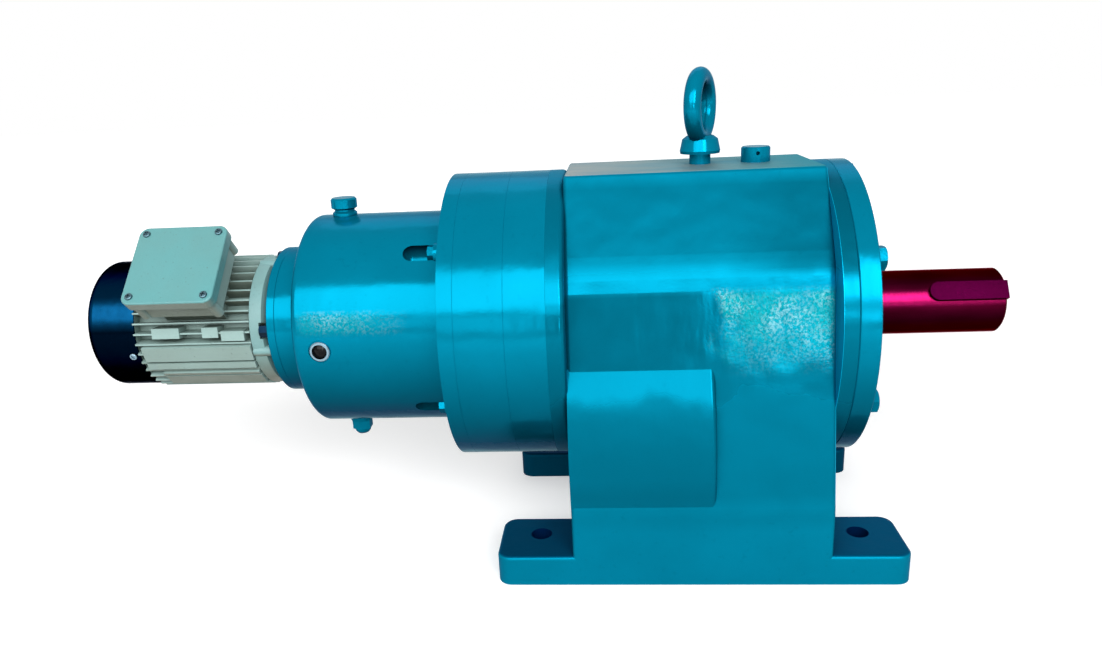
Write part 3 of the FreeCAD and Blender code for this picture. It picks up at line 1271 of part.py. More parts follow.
def motor_shaft():
    """Motor shaft from the fan to the input shaft."""
    x0, x1 = stack_place()
    front = MOTOR_BEARINGS[0]
    rear = MOTOR_BEARINGS[1]
    middle = SMALL_JOURNAL / 2 + 4.0
    r = MOTOR_SHAFT_DIAMETER / 2
    body = stepped(
        [
            (cowl_x + 14.0, rear[0], SMALL_JOURNAL / 2 - 1.0),
            (rear[0], rear[0] + rear[1], SMALL_JOURNAL / 2),
            (rear[0] + rear[1], x0, middle - 1.5),
            (x0, x1, middle),
            (x1, front[0], middle - 1.5),
            (front[0], front[0] + front[1], SMALL_JOURNAL / 2),
            (front[0] + front[1], adaptor_x + MOTOR_SHAFT_LENGTH, r),
        ]
    )
    length = MOTOR_KEY_LENGTH + 2 * FIT
    width = MOTOR_KEY_WIDTH + 2 * FIT
    way = shaft_key(adaptor_x + MOTOR_KEY_PLACE, length, width, r + 10.0, r - MOTOR_KEY_DEPTH, MAIN)
    return body.cut(way)


def motor_key():
    r = MOTOR_SHAFT_DIAMETER / 2
    x = adaptor_x + MOTOR_KEY_PLACE
    low = r - MOTOR_KEY_DEPTH + FIT
    return shaft_key(x, MOTOR_KEY_LENGTH, MOTOR_KEY_WIDTH, r + MOTOR_KEY_RISE, low, MAIN)


def rear_end_shield():
    """Rear shield with its bearing; the cowl is screwed to its rim."""
    place = MOTOR_BEARINGS[1]
    rim = COWL_RADIUS - COWL_SHEET - FIT
    back = frame_l - REAR_SHIELD
    body = disc(back, frame_l, rim)
    body = body.cut(tube(back - 1, frame_l - 5.0, rim - 6.0, SMALL_BEARING_OUTER / 2 + 6.0))
    body = body.cut(disc(place[0], frame_l + 1, SMALL_BEARING_OUTER / 2))
    body = body.cut(disc(back - 1, frame_l + 1, SMALL_JOURNAL / 2 + 3.0))
    hole = post(cowl_screw_x(), 0, AXIS_HEIGHT + rim - 5.0, COWL_SCREW_SHANK + THREAD_GAP, 12.0)
    for cut in around(hole, COWL_SCREW_ANGLES):
        body = body.cut(cut)
    return body


def cowl_screw_x():
    return frame_l - REAR_SHIELD * 0.6


def cowl_slots():
    """Rings of air slots through the back of the cowl."""
    x0 = cowl_x - 1
    slots = []
    for ring in range(COWL_RINGS):
        radius = COWL_FIRST_RING + COWL_RING_STEP * ring
        count = 6 + 2 * ring
        band = tube(x0, cowl_x + COWL_SHEET + 1, radius + COWL_SLOT / 2, radius - COWL_SLOT / 2)
        sweep = 360.0 / count - math.degrees(COWL_BRIDGE / radius)
        wedge = Part.makeCylinder(radius + 4, COWL_SHEET + 2, Vector(x0, 0, AXIS_HEIGHT), TO_OUTPUT, sweep)
        slots += around(band.common(wedge), even(0.0, count))
    return Part.makeCompound(slots)


def fan_cowl():
    """Sheet cowl with a rounded back and rings of air slots."""
    solid = disc(cowl_x, frame_l, COWL_RADIUS)
    solid = solid.makeFillet(COWL_ROUND, rim_at(solid, cowl_x))
    floor = cowl_x + COWL_SHEET
    hollow = disc(floor, frame_l + 1, COWL_RADIUS - COWL_SHEET)
    hollow = hollow.makeFillet(COWL_ROUND - COWL_SHEET, rim_at(hollow, floor))
    body = solid.cut(hollow).cut(cowl_slots())
    hole = post(cowl_screw_x(), 0, AXIS_HEIGHT + COWL_RADIUS - 5.0, COWL_SCREW_SHANK + 0.4, 12.0)
    for cut in around(hole, COWL_SCREW_ANGLES):
        body = body.cut(cut)
    return body


def cowl_screws():
    shank = COWL_SCREW_SHANK
    profile = [(-5.0, 0), (-5.0, shank), (0.3, shank), (0.3, 4.0), (1.8, 3.6), (2.6, 2.0), (2.6, 0)]
    screw = upright(AXIS_HEIGHT + COWL_RADIUS, profile, cowl_screw_x())
    return Part.makeCompound(around(screw, COWL_SCREW_ANGLES))


def cooling_fan():
    """Radial fan: hub, disc and straight blades."""
    x0 = cowl_x + 16.0
    x1 = x0 + FAN_WIDTH
    bore = SMALL_JOURNAL / 2 - 1.0
    outer = COWL_RADIUS - 14.0
    hub = tube(x0, x1, bore + 7.0, bore + FIT)
    plate = tube(x1 - 2.0, x1, outer - 4.0, bore + 5.0)
    blade = block(x0 + 1.0, x1 - 1.0, -1.0, 1.0, AXIS_HEIGHT + bore + 5.0, AXIS_HEIGHT + outer)
    return hub.multiFuse([plate] + around(blade, even(0.0, FAN_BLADES)))


def box_corners(inset, radius):
    """Corners of the terminal box outline, drawn in by an inset."""
    left = box_x - BOX_LENGTH / 2 + inset
    right = box_x + BOX_LENGTH / 2 - inset
    half = BOX_WIDTH / 2 - inset
    return [(left, -half, radius), (right, -half, radius), (right, half, radius), (left, half, radius)]


def box_prism(inset, radius, low, high):
    """Prism on the terminal box line between two distances from the shaft line."""
    solid = prism(box_corners(inset, radius), level(AXIS_HEIGHT + low), Vector(0, 0, high - low))
    return spoke(solid, BOX_ELEVATION)


def lid_screw_places():
    """Places of the lid screws as (x, y)."""
    dx = BOX_LENGTH / 2 - BOX_SCREW_INSET
    dy = BOX_WIDTH / 2 - BOX_SCREW_INSET
    return [(box_x + sx * dx, sy * dy) for sx in (-1, 1) for sy in (-1, 1)]


def box_posts(radius, low, high):
    """Round posts on the lid screw lines between two distances from the shaft line."""
    posts = []
    for x, y in lid_screw_places():
        posts.append(spoke(post(x, y, AXIS_HEIGHT + low, radius, high - low), BOX_ELEVATION))
    return posts


box_top = BOX_FACE - BOX_COVER - BOX_GASKET


def terminal_box():
    """Open box on a neck, with ears for the lid screws and a cable entry on its rear side."""
    dx = BOX_NECK_LENGTH / 2
    dy = BOX_NECK_WIDTH / 2
    body = box_prism(BOX_OVERHANG, 9.0, BOX_FLOOR, box_top)
    neck = block(box_x - dx, box_x + dx, -dy, dy, AXIS_HEIGHT + BOX_SEAT, AXIS_HEIGHT + BOX_FLOOR)
    body = body.fuse(spoke(neck, BOX_ELEVATION))
    body = body.multiFuse(box_posts(BOX_POST_RADIUS, BOX_FLOOR + 2.0, box_top))
    body = body.cut(box_prism(BOX_OVERHANG + BOX_WALL, 6.0, BOX_FLOOR + BOX_WALL, box_top + 1))
    for hole in box_posts(LID_SCREW_SHANK + THREAD_GAP, box_top - 14.0, box_top + 1):
        body = body.cut(hole)
    passage = post(box_x, 0, AXIS_HEIGHT + FRAME_BORE, BOX_PASSAGE, BOX_FLOOR - FRAME_BORE + 10.0)
    entry = Part.makeCylinder(CABLE_ENTRY_RADIUS + THREAD_GAP, 10.0, entry_base() + TO_MOTOR, TO_OUTPUT)
    return body.cut(spoke(passage, BOX_ELEVATION)).cut(spoke(entry, BOX_ELEVATION))


def entry_base():
    """Middle of the cable entry on the rear side, before the box is turned to its elevation."""
    height = (BOX_FLOOR + box_top) / 2 + 2.0
    return Vector(box_x - BOX_LENGTH / 2 + BOX_OVERHANG, 0, AXIS_HEIGHT + height)


def cable_entry_plug():
    """Blanking plug in the cable entry."""
    plug = Part.makeCylinder(CABLE_ENTRY_RADIUS, BOX_WALL + 1.0, entry_base(), TO_OUTPUT)
    return spoke(hexagon(20.0, 5.0, entry_base(), TO_MOTOR).fuse(plug), BOX_ELEVATION)


def terminal_gasket():
    high = box_top + BOX_GASKET
    body = box_prism(BOX_OVERHANG, 9.0, box_top, high)
    body = body.multiFuse(box_posts(BOX_POST_RADIUS, box_top, high))
    body = body.cut(box_prism(BOX_OVERHANG + BOX_WALL, 6.0, box_top - 1, high + 1))
    for hole in box_posts(LID_SCREW_SHANK + 0.3, box_top - 1, high + 1):
        body = body.cut(hole)
    return body


def terminal_cover():
    """Lid with rounded edges and a hollow underside."""
    low = BOX_FACE - BOX_COVER
    solid = prism(box_corners(0.0, 10.0), level(AXIS_HEIGHT + low), Vector(0, 0, BOX_COVER))
    rim = [e for e in solid.Edges if min(v.Z for v in e.Vertexes) > AXIS_HEIGHT + BOX_FACE - 0.01]
    body = spoke(solid.makeFillet(LID_EDGE, rim), BOX_ELEVATION)
    body = body.cut(box_prism(15.0, 8.0, low - 1, BOX_FACE - 4.0))
    for hole in box_posts(LID_SCREW_SHANK + 0.3, low - 1, BOX_FACE + 1):
        body = body.cut(hole)
    return body


def terminal_cover_screws():
    shank = LID_SCREW_SHANK
    profile = [(-22.0, 0), (-22.0, shank), (0, shank), (0, 4.0), (1.5, 3.6), (2.4, 2.0), (2.4, 0)]
    screws = []
    for x, y in lid_screw_places():
        screws.append(spoke(upright(AXIS_HEIGHT + BOX_FACE, profile, x, y), BOX_ELEVATION))
    return Part.makeCompound(screws)


def stud_places():
    """Feet of the terminal studs, before the box is turned to its elevation."""
    z = AXIS_HEIGHT + BOX_FLOOR + BOX_WALL + 1.0
    places = []
    for i in range(3):
        for y in (BOARD_NEAR + 6.0, BOARD_FAR - 6.0):
            places.append(Vector(box_x + STUD_SPACING * (i - 1), y, z))
    return places


def terminal_board():
    """Insulating board that carries the terminal studs."""
    z = AXIS_HEIGHT + BOX_FLOOR + BOX_WALL
    half = BOARD_LENGTH / 2
    body = block(box_x - half, box_x + half, BOARD_NEAR, BOARD_FAR, z, z + BOARD_HEIGHT)
    body = drill(body, stud_places(), STUD_RADIUS + THREAD_GAP, UP, 12.0)
    return spoke(body, BOX_ELEVATION)


def terminal_studs():
    """Six studs, each with its nut."""
    studs = []
    for base in stud_places():
        stud = Part.makeCylinder(STUD_RADIUS, 18.0, base, UP)
        nut = hexagon(7.0, 3.2, base + UP * (BOARD_HEIGHT - 1.0), UP)
        studs.append(spoke(stud.fuse(nut), BOX_ELEVATION))
    return Part.makeCompound(studs)


PARTS = {
    "main_housing": main_housing,
    "output_cover": output_cover,
    "output_cover_bolts": output_cover_bolts,
    "output_oil_seal": output_oil_seal,
    "main_breather": main_breather,
    "main_drain_plug": main_drain_plug,
    "eyebolt": eyebolt,
    "bearing_carrier": bearing_carrier,
    "spacer_ring": spacer_ring,
    "primary_plate": primary_plate,
    "intermediate_oil_seal": intermediate_oil_seal,
    "flange_bolts": flange_bolts,
    "primary_housing": primary_housing,
    "primary_flange_bolts": primary_flange_bolts,
    "primary_breather": primary_breather,
    "primary_drain_plug": primary_drain_plug,
    "sight_glass_bezel": sight_glass_bezel,
    "sight_glass_lens": sight_glass_lens,
    "motor_adaptor": motor_adaptor,
    "adaptor_screws": adaptor_screws,
    "input_oil_seal": input_oil_seal,
    "motor_flange": motor_flange,
    "motor_flange_bolts": motor_flange_bolts,
    "drive_end_shield": drive_end_shield,
    "motor_frame": motor_frame,
    "stator_core": stator_core,
    "stator_winding": stator_winding,
    "rear_end_shield": rear_end_shield,
    "fan_cowl": fan_cowl,
    "cowl_screws": cowl_screws,
    "terminal_box": terminal_box,
    "terminal_gasket": terminal_gasket,
    "terminal_cover": terminal_cover,
    "terminal_cover_screws": terminal_cover_screws,
    "terminal_board": terminal_board,
    "terminal_studs": terminal_studs,
    "cable_entry_plug": cable_entry_plug,
    "main_bearing_outer_rings": lambda: outer_rings(OUTPUT_BEARINGS + COUNTER_BEARINGS),
    "primary_bearing_outer_rings": lambda: outer_rings(MIDDLE_BEARINGS + PRIMARY_BEARINGS + INPUT_BEARINGS),
    "motor_bearing_outer_rings": lambda: outer_rings(MOTOR_BEARINGS),
    "output_shaft": output_shaft,
    "output_key": output_key,
    "output_wheel": output_wheel,
    "output_spacer": output_spacer,
    "output_bearing_inner_rings": lambda: inner_rings(OUTPUT_BEARINGS),
    "counter_shaft": counter_shaft,
    "counter_wheel": counter_wheel,
    "counter_bearing_inner_rings": lambda: inner_rings(COUNTER_BEARINGS),
    "middle_shaft": middle_shaft,
    "primary_wheel": primary_wheel,
    "middle_bearing_inner_rings": lambda: inner_rings(MIDDLE_BEARINGS),
    "primary_counter_shaft": primary_counter_shaft,
    "primary_counter_wheel": primary_counter_wheel,
    "primary_counter_inner_rings": lambda: inner_rings(PRIMARY_BEARINGS),
    "input_pinion_shaft": input_pinion_shaft,
    "motor_shaft": motor_shaft,
    "motor_key": motor_key,
    "rotor_core": rotor_core,
    "cooling_fan": cooling_fan,
    "rotor_bearing_inner_rings": lambda: inner_rings(INPUT_BEARINGS + MOTOR_BEARINGS),
}

os.makedirs("parts", exist_ok=True)
for name, make in PARTS.items():
    make().exportStep("parts/" + name + ".step")
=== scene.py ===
import math

import bpy
from mathutils import Matrix, Vector

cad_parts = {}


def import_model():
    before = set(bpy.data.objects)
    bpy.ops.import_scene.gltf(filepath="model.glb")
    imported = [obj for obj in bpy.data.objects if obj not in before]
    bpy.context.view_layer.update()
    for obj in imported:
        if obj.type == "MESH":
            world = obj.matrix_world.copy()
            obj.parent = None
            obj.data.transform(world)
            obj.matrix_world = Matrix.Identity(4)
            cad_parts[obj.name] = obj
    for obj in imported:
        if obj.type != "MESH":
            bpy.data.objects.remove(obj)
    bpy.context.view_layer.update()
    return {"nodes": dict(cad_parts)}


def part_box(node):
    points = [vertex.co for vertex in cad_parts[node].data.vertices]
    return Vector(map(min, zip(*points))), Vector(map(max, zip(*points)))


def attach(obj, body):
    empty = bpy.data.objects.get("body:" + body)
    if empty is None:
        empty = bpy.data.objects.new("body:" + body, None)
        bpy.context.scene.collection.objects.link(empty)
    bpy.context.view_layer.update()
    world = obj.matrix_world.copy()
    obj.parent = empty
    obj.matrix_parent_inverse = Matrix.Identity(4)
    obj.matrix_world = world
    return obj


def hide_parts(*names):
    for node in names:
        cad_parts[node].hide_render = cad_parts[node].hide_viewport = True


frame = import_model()

# Places on the object
AXIS_HEIGHT = 0.250
SWELL_END = 0.0145
PAD_HEIGHT = 0.4095
FOOT_HEIGHT = 0.0325
CREASE_HEIGHT = 0.300
FLANGE_BACK = 0.130
FOOT_HOLE = (0.167, 0.118)
FOOT_HOLE_RADIUS = 0.011
TO_OUTPUT = Vector((1, 0, 0))
LID_LINE = Vector((0, -math.sqrt(0.5), math.sqrt(0.5)))
LID_SIDE = Vector((0, math.sqrt(0.5), math.sqrt(0.5)))

# Soft edges of the casing's zones of painted shade, painted light, painted reflection and painted glints, and of its
# roughness and grain, each from where a zone starts to change to where it has changed
PAD_EDGE = (PAD_HEIGHT - 0.0010, PAD_HEIGHT - 0.0004)
PAD_SPAN = (-0.12, 0.13)
FOOT_EDGE = (FOOT_HEIGHT + 0.001, FOOT_HEIGHT + 0.006)
HOLE_EDGE = (FOOT_HOLE_RADIUS + 0.0001, FOOT_HOLE_RADIUS + 0.0006)
HOLE_TOP = (FOOT_HEIGHT + 0.001, FOOT_HEIGHT + 0.002)
REAR_TOP = (0.045, 0.065)
REAR_SIDE = (0.05, 0.08)
WALL_LOW = (0.06, 0.10)
WALL_HIGH = (0.395, 0.405)
STRIP_LOW = (CREASE_HEIGHT - 0.004, CREASE_HEIGHT)
STRIP_HIGH = (CREASE_HEIGHT + 0.014, CREASE_HEIGHT + 0.028)
CORNER_LEFT = (0.02, 0.09)
CORNER_LOW = (CREASE_HEIGHT + 0.010, CREASE_HEIGHT + 0.020)
CORNER_HIGH = (CREASE_HEIGHT + 0.030, CREASE_HEIGHT + 0.050)
LIP_LEFT = (FLANGE_BACK - 0.0005, FLANGE_BACK - 0.0002)
LIP_RIGHT = (FLANGE_BACK + 0.0002, FLANGE_BACK + 0.0005)
LIP_LOW = (0.085, 0.095)
DULL_LOW = (CREASE_HEIGHT + 0.012, CREASE_HEIGHT + 0.026)
MATT_HIGH = (0.224, 0.240)
SWELL_LOW = (0.12, 0.18)
SWELL_RIGHT = (SWELL_END - 0.004, SWELL_END + 0.010)
GRAIN_FRONT = (-0.112, -0.104)
GRAIN_LEFT = (SWELL_END + 0.040, SWELL_END + 0.060)
GRAIN_RIGHT = (0.1275, 0.1295)
GRAIN_LOW = (0.215, 0.280)
GRAIN_HIGH = (CREASE_HEIGHT - 0.006, CREASE_HEIGHT + 0.004)

# Soft edges of the grainy place on the primary housing, which carries painted glints
PRIMARY_LEFT = (-0.41, -0.40)
PRIMARY_RIGHT = (-0.35, -0.29)
PRIMARY_LOW = (0.260, 0.268)
PRIMARY_HIGH = (0.280, 0.288)
PRIMARY_FRONT = (-0.02, 0.0)

# Soft edges by the height of the surface normal, from -1 facing down to 1 facing up, mostly for painted shade,
# painted highlights and painted reflection
# Painted shade on the enamel's undersides and on the casing's foot tops
UNDERSIDE = (-0.85, -0.05)
FOOT_FACING = (0.55, 0.85)
# Painted sky reflection on upper faces of the cream paint, painted shade on faces turned down
CREAM_FACING = (-0.80, -0.12)
# Painted blue highlight on the upper flank of the black enamel
BLACK_HIGHLIGHT_BELOW = (0.12, 0.32)
BLACK_HIGHLIGHT_ABOVE = (0.48, 0.62)
# Painted highlight on the front flank of the lacquer, and painted shade on its top and underside
LACQUER_HIGHLIGHT_BELOW = (0.08, 0.25)
LACQUER_HIGHLIGHT_ABOVE = (0.42, 0.62)
LACQUER_TOP_SHADE = (0.6, 0.8)
LACQUER_UNDER_SHADE = (-0.35, 0.1)

# Camera, from a fit to the photograph
CAMERA_PLACE = Vector((-0.0806, -0.9109, 0.5002))
CAMERA_RIGHT = Vector((0.9966, 0.0685, -0.0465))
CAMERA_FORWARD = Vector((-0.0791, 0.9531, -0.2922))
CAMERA_LENS = 27.07
CAMERA_SENSOR = 36.0

# Light: levels of the surroundings, and lamps as (name, elevation, distance, shift along X, width, height, radiance)
SKY_LEVEL = 0.36
BACKGROUND_LEVEL = 1.0
AIM = Vector((-0.15, -0.10, 0.27))
LAMPS = (
    ("key_box", 32.5, 3.2, -0.18, 2.6, 1.90, 5.6),
    ("far_box", 32.5, 3.2, -2.15, 1.34, 1.90, 4.5),
    ("left_box", 7.0, 3.4, -1.0, 1.4, 0.70, 2.0),
    ("right_box", 6.0, 3.4, 1.07, 0.90, 0.50, 8.0),
    ("shaft_box", 32.0, 3.4, 1.70, 1.20, 1.90, 10.0),
    ("back_box", 42.0, -3.6, 0.0, 3.0, 1.6, 0.9),
)
FLOOR_HALF = 14.0
FLOOR_GREY = (0.25, 0.25, 0.25, 1)
FLOOR_PALE = (0.75, 0.75, 0.75, 1)
FLOOR_GLOW = (0.42, 0.85)
FLOOR_GLOW_REACH = (0.7, 2.6)
WHITE = (1, 1, 1, 1)

# Paints and metals, as linear colours
TEAL = (0.0004, 0.160, 0.255)
TEAL_TINT = (0.02, 0.45, 0.62, 1.0)
# Painted highlight: pale tone and glints for the glitter of light on grainy paint
GRAIN_HIGHLIGHT = (0.003, 0.245, 0.262)
GLINT_HIGHLIGHT = (0.270, 0.430, 0.470)
# Painted reflection: grey of the machined top pad, from left to right, for the bright background seen at a grazing
# angle
PAD_REFLECTION_LEFT = (0.42, 0.38, 0.34)
PAD_REFLECTION_RIGHT = (0.03, 0.23, 0.26)
# Painted shade: foot tops and rear foot, and the walls of the foot holes
FOOT_SHADE = (0.0002, 0.032, 0.095)
HOLE_SHADE = (0.0003, 0.014, 0.065)
# Cream paint of the frame, lid and end shield: colours of upward faces, with a painted bluish sky reflection
CREAM = (0.275, 0.415, 0.395)
# Painted shade: shaded copy of the cream for faces turned down
CREAM_SHADED = (0.19, 0.215, 0.165)
LID = (0.090, 0.285, 0.292)
SHIELD = (0.170, 0.330, 0.330)
# Grime flecks, also used as painted shade in hollows
GRIME_AND_SHADE = (0.062, 0.092, 0.074)
BLACK = (0.0003, 0.003, 0.009)
# Painted blue highlight of the black enamel
BLACK_HIGHLIGHT = (0.0012, 0.035, 0.09)
BLACK_EDGE = (0.01, 0.04, 0.10)
SHAFT_RED = (0.040, 0.0004, 0.007)
SHAFT_THIN = (0.064, 0.0010, 0.015)
# Painted highlight on the shaft's front flank
SHAFT_HIGHLIGHT = (0.190, 0.0035, 0.050)
KEY_RED = (0.026, 0.0002, 0.010)
KEY_THIN = (0.036, 0.0004, 0.015)
# Painted highlight on the key's front flank
KEY_HIGHLIGHT = (0.028, 0.0002, 0.012)
LACQUER_TINT = (0.5, 0.02, 0.12, 1.0)
RUBBER = (0.018, 0.018, 0.018)
PLASTIC = (0.02, 0.02, 0.022)
LENS_DARK = (0.004, 0.004, 0.004)
ZINC = (0.24, 0.36, 0.43)
LID_SCREW = (0.085, 0.155, 0.185)
BOLT_BLACK = (0.004, 0.014, 0.030)
COPPER = (0.55, 0.22, 0.09)
BRASS = (0.62, 0.44, 0.16)
SHEET_STEEL = (0.22, 0.22, 0.24)
GEAR_STEEL = (0.42, 0.43, 0.45)

# Shine of the enamel and the sight glass, and the angle from which an edge is sharp
PAINT_METALLIC = 0.46
PAINT_IOR = 1.06
PAINT_ROUGHNESS = 0.16
LENS_IOR = 1.20
LENS_CURVE = 0.009
SHARP_ANGLE = math.radians(28)


def put(tree, socket, value):
    """Set a socket to a value, or link it to another node's output."""
    if isinstance(value, bpy.types.NodeSocket):
        tree.links.new(value, socket)
    else:
        socket.default_value = value


def dress(tree, node, **sockets):
    """Set or link a node's named sockets."""
    for key, value in sockets.items():
        put(tree, node.inputs[key.replace("_", " ")], value)


def fill(tree, node, values):
    """Set or link a node's first sockets in turn."""
    for socket, value in zip(node.inputs, values):
        put(tree, socket, value)
    return node


def add(tree, kind, settings=None, **sockets):
    """New shader node with its settings, and its named sockets set or linked."""
    made = tree.nodes.new("ShaderNode" + kind)
    for key, value in (settings or {}).items():
        setattr(made, key, value)
    dress(tree, made, **sockets)
    return made


def calc(tree, operation, *values):
    """Result of a math node."""
    return fill(tree, add(tree, "Math", {"operation": operation}), values).outputs[0]


def vector_value(tree, operation, *vectors):
    """Length of a vector, or distance between two."""
    return fill(tree, add(tree, "VectorMath", {"operation": operation}), vectors).outputs["Value"]


def times(tree, *values):
    """Product of several values."""
    total = values[0]
    for value in values[1:]:
        total = calc(tree, "MULTIPLY", total, value)
    return total


def spread(tree, value, low, high, from_low=0.3, from_high=0.7):
    """Map a value to a range; without limits of its own, it is taken for noise."""
    made = add(tree, "MapRange", Value=value, From_Min=from_low, From_Max=from_high, To_Min=low, To_Max=high)
    return made.outputs["Result"]


def rise(tree, value, start, end, top=1.0):
    """0 up to the start, and top from the end on."""
    return spread(tree, value, 0.0, top, start, end)


def fall(tree, value, start, end, top=1.0):
    """Top up to the start, and 0 from the end on."""
    return spread(tree, value, top, 0.0, start, end)


def blend(tree, factor, first, second):
    """Value between two values."""
    return add(tree, "MapRange", Value=factor, To_Min=first, To_Max=second).outputs["Result"]


def mix(tree, factor, first, second):
    """Colour between two colours."""
    made = tree.nodes.new("ShaderNodeMix")
    made.data_type = "RGBA"
    put(tree, made.inputs[0], factor)
    put(tree, made.inputs[6], first)
    put(tree, made.inputs[7], second)
    return made.outputs[2]


def shade(colour, share=1.0):
    """Colour for a socket, darkened or lightened."""
    return (colour[0] * share, colour[1] * share, colour[2] * share, 1.0)


def coordinates(tree):
    """Object coordinates as a vector."""
    return add(tree, "TexCoord").outputs["Object"]


def axes(tree):
    """Object coordinates as three values."""
    return add(tree, "SeparateXYZ", Vector=coordinates(tree)).outputs


def facing_up(tree):
    """Height of the surface normal, from -1 to 1."""
    return add(tree, "SeparateXYZ", Vector=add(tree, "NewGeometry").outputs["Normal"]).outputs["Z"]


def noise(tree, scale, detail=3.0, roughness=0.5, stretch=(1, 1, 1)):
    """Noise in object coordinates, stretched along the axes."""
    place = add(tree, "Mapping", Vector=coordinates(tree), Scale=stretch).outputs["Vector"]
    return add(tree, "TexNoise", Vector=place, Scale=scale, Detail=detail, Roughness=roughness).outputs["Fac"]


def openness(tree, distance, only_local=False):
    """How open a place is, from 0 deep in a hollow to 1."""
    settings = {"samples": 8, "only_local": only_local}
    return add(tree, "AmbientOcclusion", settings, Distance=distance).outputs["AO"]


def bump(tree, height, distance, strength=1.0, below=None):
    """Normal of a relief, on top of the relief below it."""
    made = add(tree, "Bump", Height=height, Distance=distance, Strength=strength)
    if below is not None:
        put(tree, made.inputs["Normal"], below)
    return made.outputs["Normal"]


def blank(name):
    """New material with its node tree and its Principled shader."""
    made = bpy.data.materials.new(name)
    made.use_nodes = True
    return made, made.node_tree, made.node_tree.nodes["Principled BSDF"]


def enamel_tone(tree):
    """Teal paint with thin and thick places and flecks, with painted shade in hollows and on undersides."""
    cloud = noise(tree, scale=9.0, detail=4.0)
    speck = noise(tree, scale=160.0, detail=2.0)
    hollow = openness(tree, distance=0.09, only_local=True)
    tone = mix(tree, spread(tree, cloud, 0.0, 1.0), shade(TEAL, 0.92), shade(TEAL, 1.07))
    tone = mix(tree, rise(tree, speck, 0.62, 0.80, top=0.35), tone, shade(TEAL, 0.72))
    # Painted shade in hollows and seams
    tone = mix(tree, fall(tree, hollow, 0.25, 0.85, top=0.35), tone, shade(TEAL, 0.16))
    # Painted shade on faces turned down
    return mix(tree, fall(tree, facing_up(tree), *UNDERSIDE, top=0.8), tone, shade(TEAL, 0.1))


def enamel_roughness(tree):
    """Roughness of sprayed enamel, a little uneven."""
    return spread(tree, noise(tree, scale=30.0), PAINT_ROUGHNESS * 0.8, PAINT_ROUGHNESS * 1.35)


def enamel_relief(tree, swing):
    """Slow waves, faint runs and orange peel of sprayed enamel."""
    waves = bump(tree, noise(tree, scale=14.0, detail=2.0), swing)
    runs = bump(tree, noise(tree, scale=60.0, detail=2.0, stretch=(1, 1, 0.12)), 0.0004, below=waves)
    return bump(tree, noise(tree, scale=420.0, detail=1.0), 0.00004, below=runs)


def blank_enamel(name):
    """New material with the shine of the enamel."""
    made, tree, shader = blank(name)
    dress(tree, shader, Metallic=PAINT_METALLIC, IOR=PAINT_IOR, Specular_Tint=TEAL_TINT)
    return made, tree, shader


def grain_and_glints(tree, shader, grain, tone, below):
    """Tone with the crumbs of rough cast paint where the grain is, and a painted highlight of pale tone and glints
    over them.
    """
    crumbs = bump(tree, noise(tree, scale=330.0, roughness=0.7), 0.0004, grain, below)
    cluster = spread(tree, noise(tree, scale=24.0), 0.12, 1.0, 0.44, 0.60)
    glint_spots = rise(tree, noise(tree, scale=360.0, detail=2.0, roughness=0.6), 0.44, 0.64, top=0.6)
    # Painted highlight: pale tone and glints where light glitters on the grain
    tone = mix(tree, times(tree, grain, 0.75), tone, shade(GRAIN_HIGHLIGHT))
    tone = mix(tree, times(tree, grain, cluster, glint_spots), tone, shade(GLINT_HIGHLIGHT))
    dress(tree, shader, Base_Color=tone, Normal=crumbs)


def enamel(name):
    """Sprayed enamel on smooth pieces."""
    made, tree, shader = blank_enamel(name)
    tone = enamel_tone(tree)
    relief = enamel_relief(tree, swing=0.0012)
    dress(tree, shader, Base_Color=tone, Roughness=enamel_roughness(tree), Normal=relief)
    return made


def primary_enamel(name):
    """Enamel of the primary housing, with a grainy place on its front that carries painted glints."""
    made, tree, shader = blank_enamel(name)
    x, y, z = axes(tree)
    along = times(tree, rise(tree, x, *PRIMARY_LEFT), fall(tree, x, *PRIMARY_RIGHT))
    upright = times(tree, rise(tree, z, *PRIMARY_LOW), fall(tree, z, *PRIMARY_HIGH))
    grain = times(tree, along, upright, fall(tree, y, *PRIMARY_FRONT), 0.5)
    dress(tree, shader, Roughness=enamel_roughness(tree))
    grain_and_glints(tree, shader, grain, enamel_tone(tree), enamel_relief(tree, swing=0.0012))
    return made


def foot_holes(tree, x, y, z):
    """1 on the walls of the four bolt holes in the feet, where painted shade goes."""
    across = calc(tree, "SUBTRACT", calc(tree, "ABSOLUTE", x), FOOT_HOLE[0])
    along = calc(tree, "SUBTRACT", calc(tree, "ABSOLUTE", y), FOOT_HOLE[1])
    away = vector_value(tree, "LENGTH", add(tree, "CombineXYZ", X=across, Y=along).outputs[0])
    return times(tree, fall(tree, away, *HOLE_EDGE), fall(tree, z, *HOLE_TOP))


def wall_shade_and_highlight(tree, x, z):
    """Painted shade on the casing's walls: a painted highlight in a strip over the crease, and the deepest painted
    shade at the right over it.
    """
    strip = times(tree, rise(tree, z, *STRIP_LOW), fall(tree, z, *STRIP_HIGH))
    corner = times(tree, rise(tree, x, *CORNER_LEFT), rise(tree, z, *CORNER_LOW))
    shade_share = spread(tree, z, 0.95, 0.5, *CORNER_HIGH)
    # Painted highlight strip over the crease in the painted wall shade
    tone = mix(tree, strip, shade(TEAL, 0.56), shade(TEAL, 0.95))
    # Deepest painted shade at the right over the crease
    return mix(tree, times(tree, corner, shade_share), tone, shade(TEAL, 0.05))


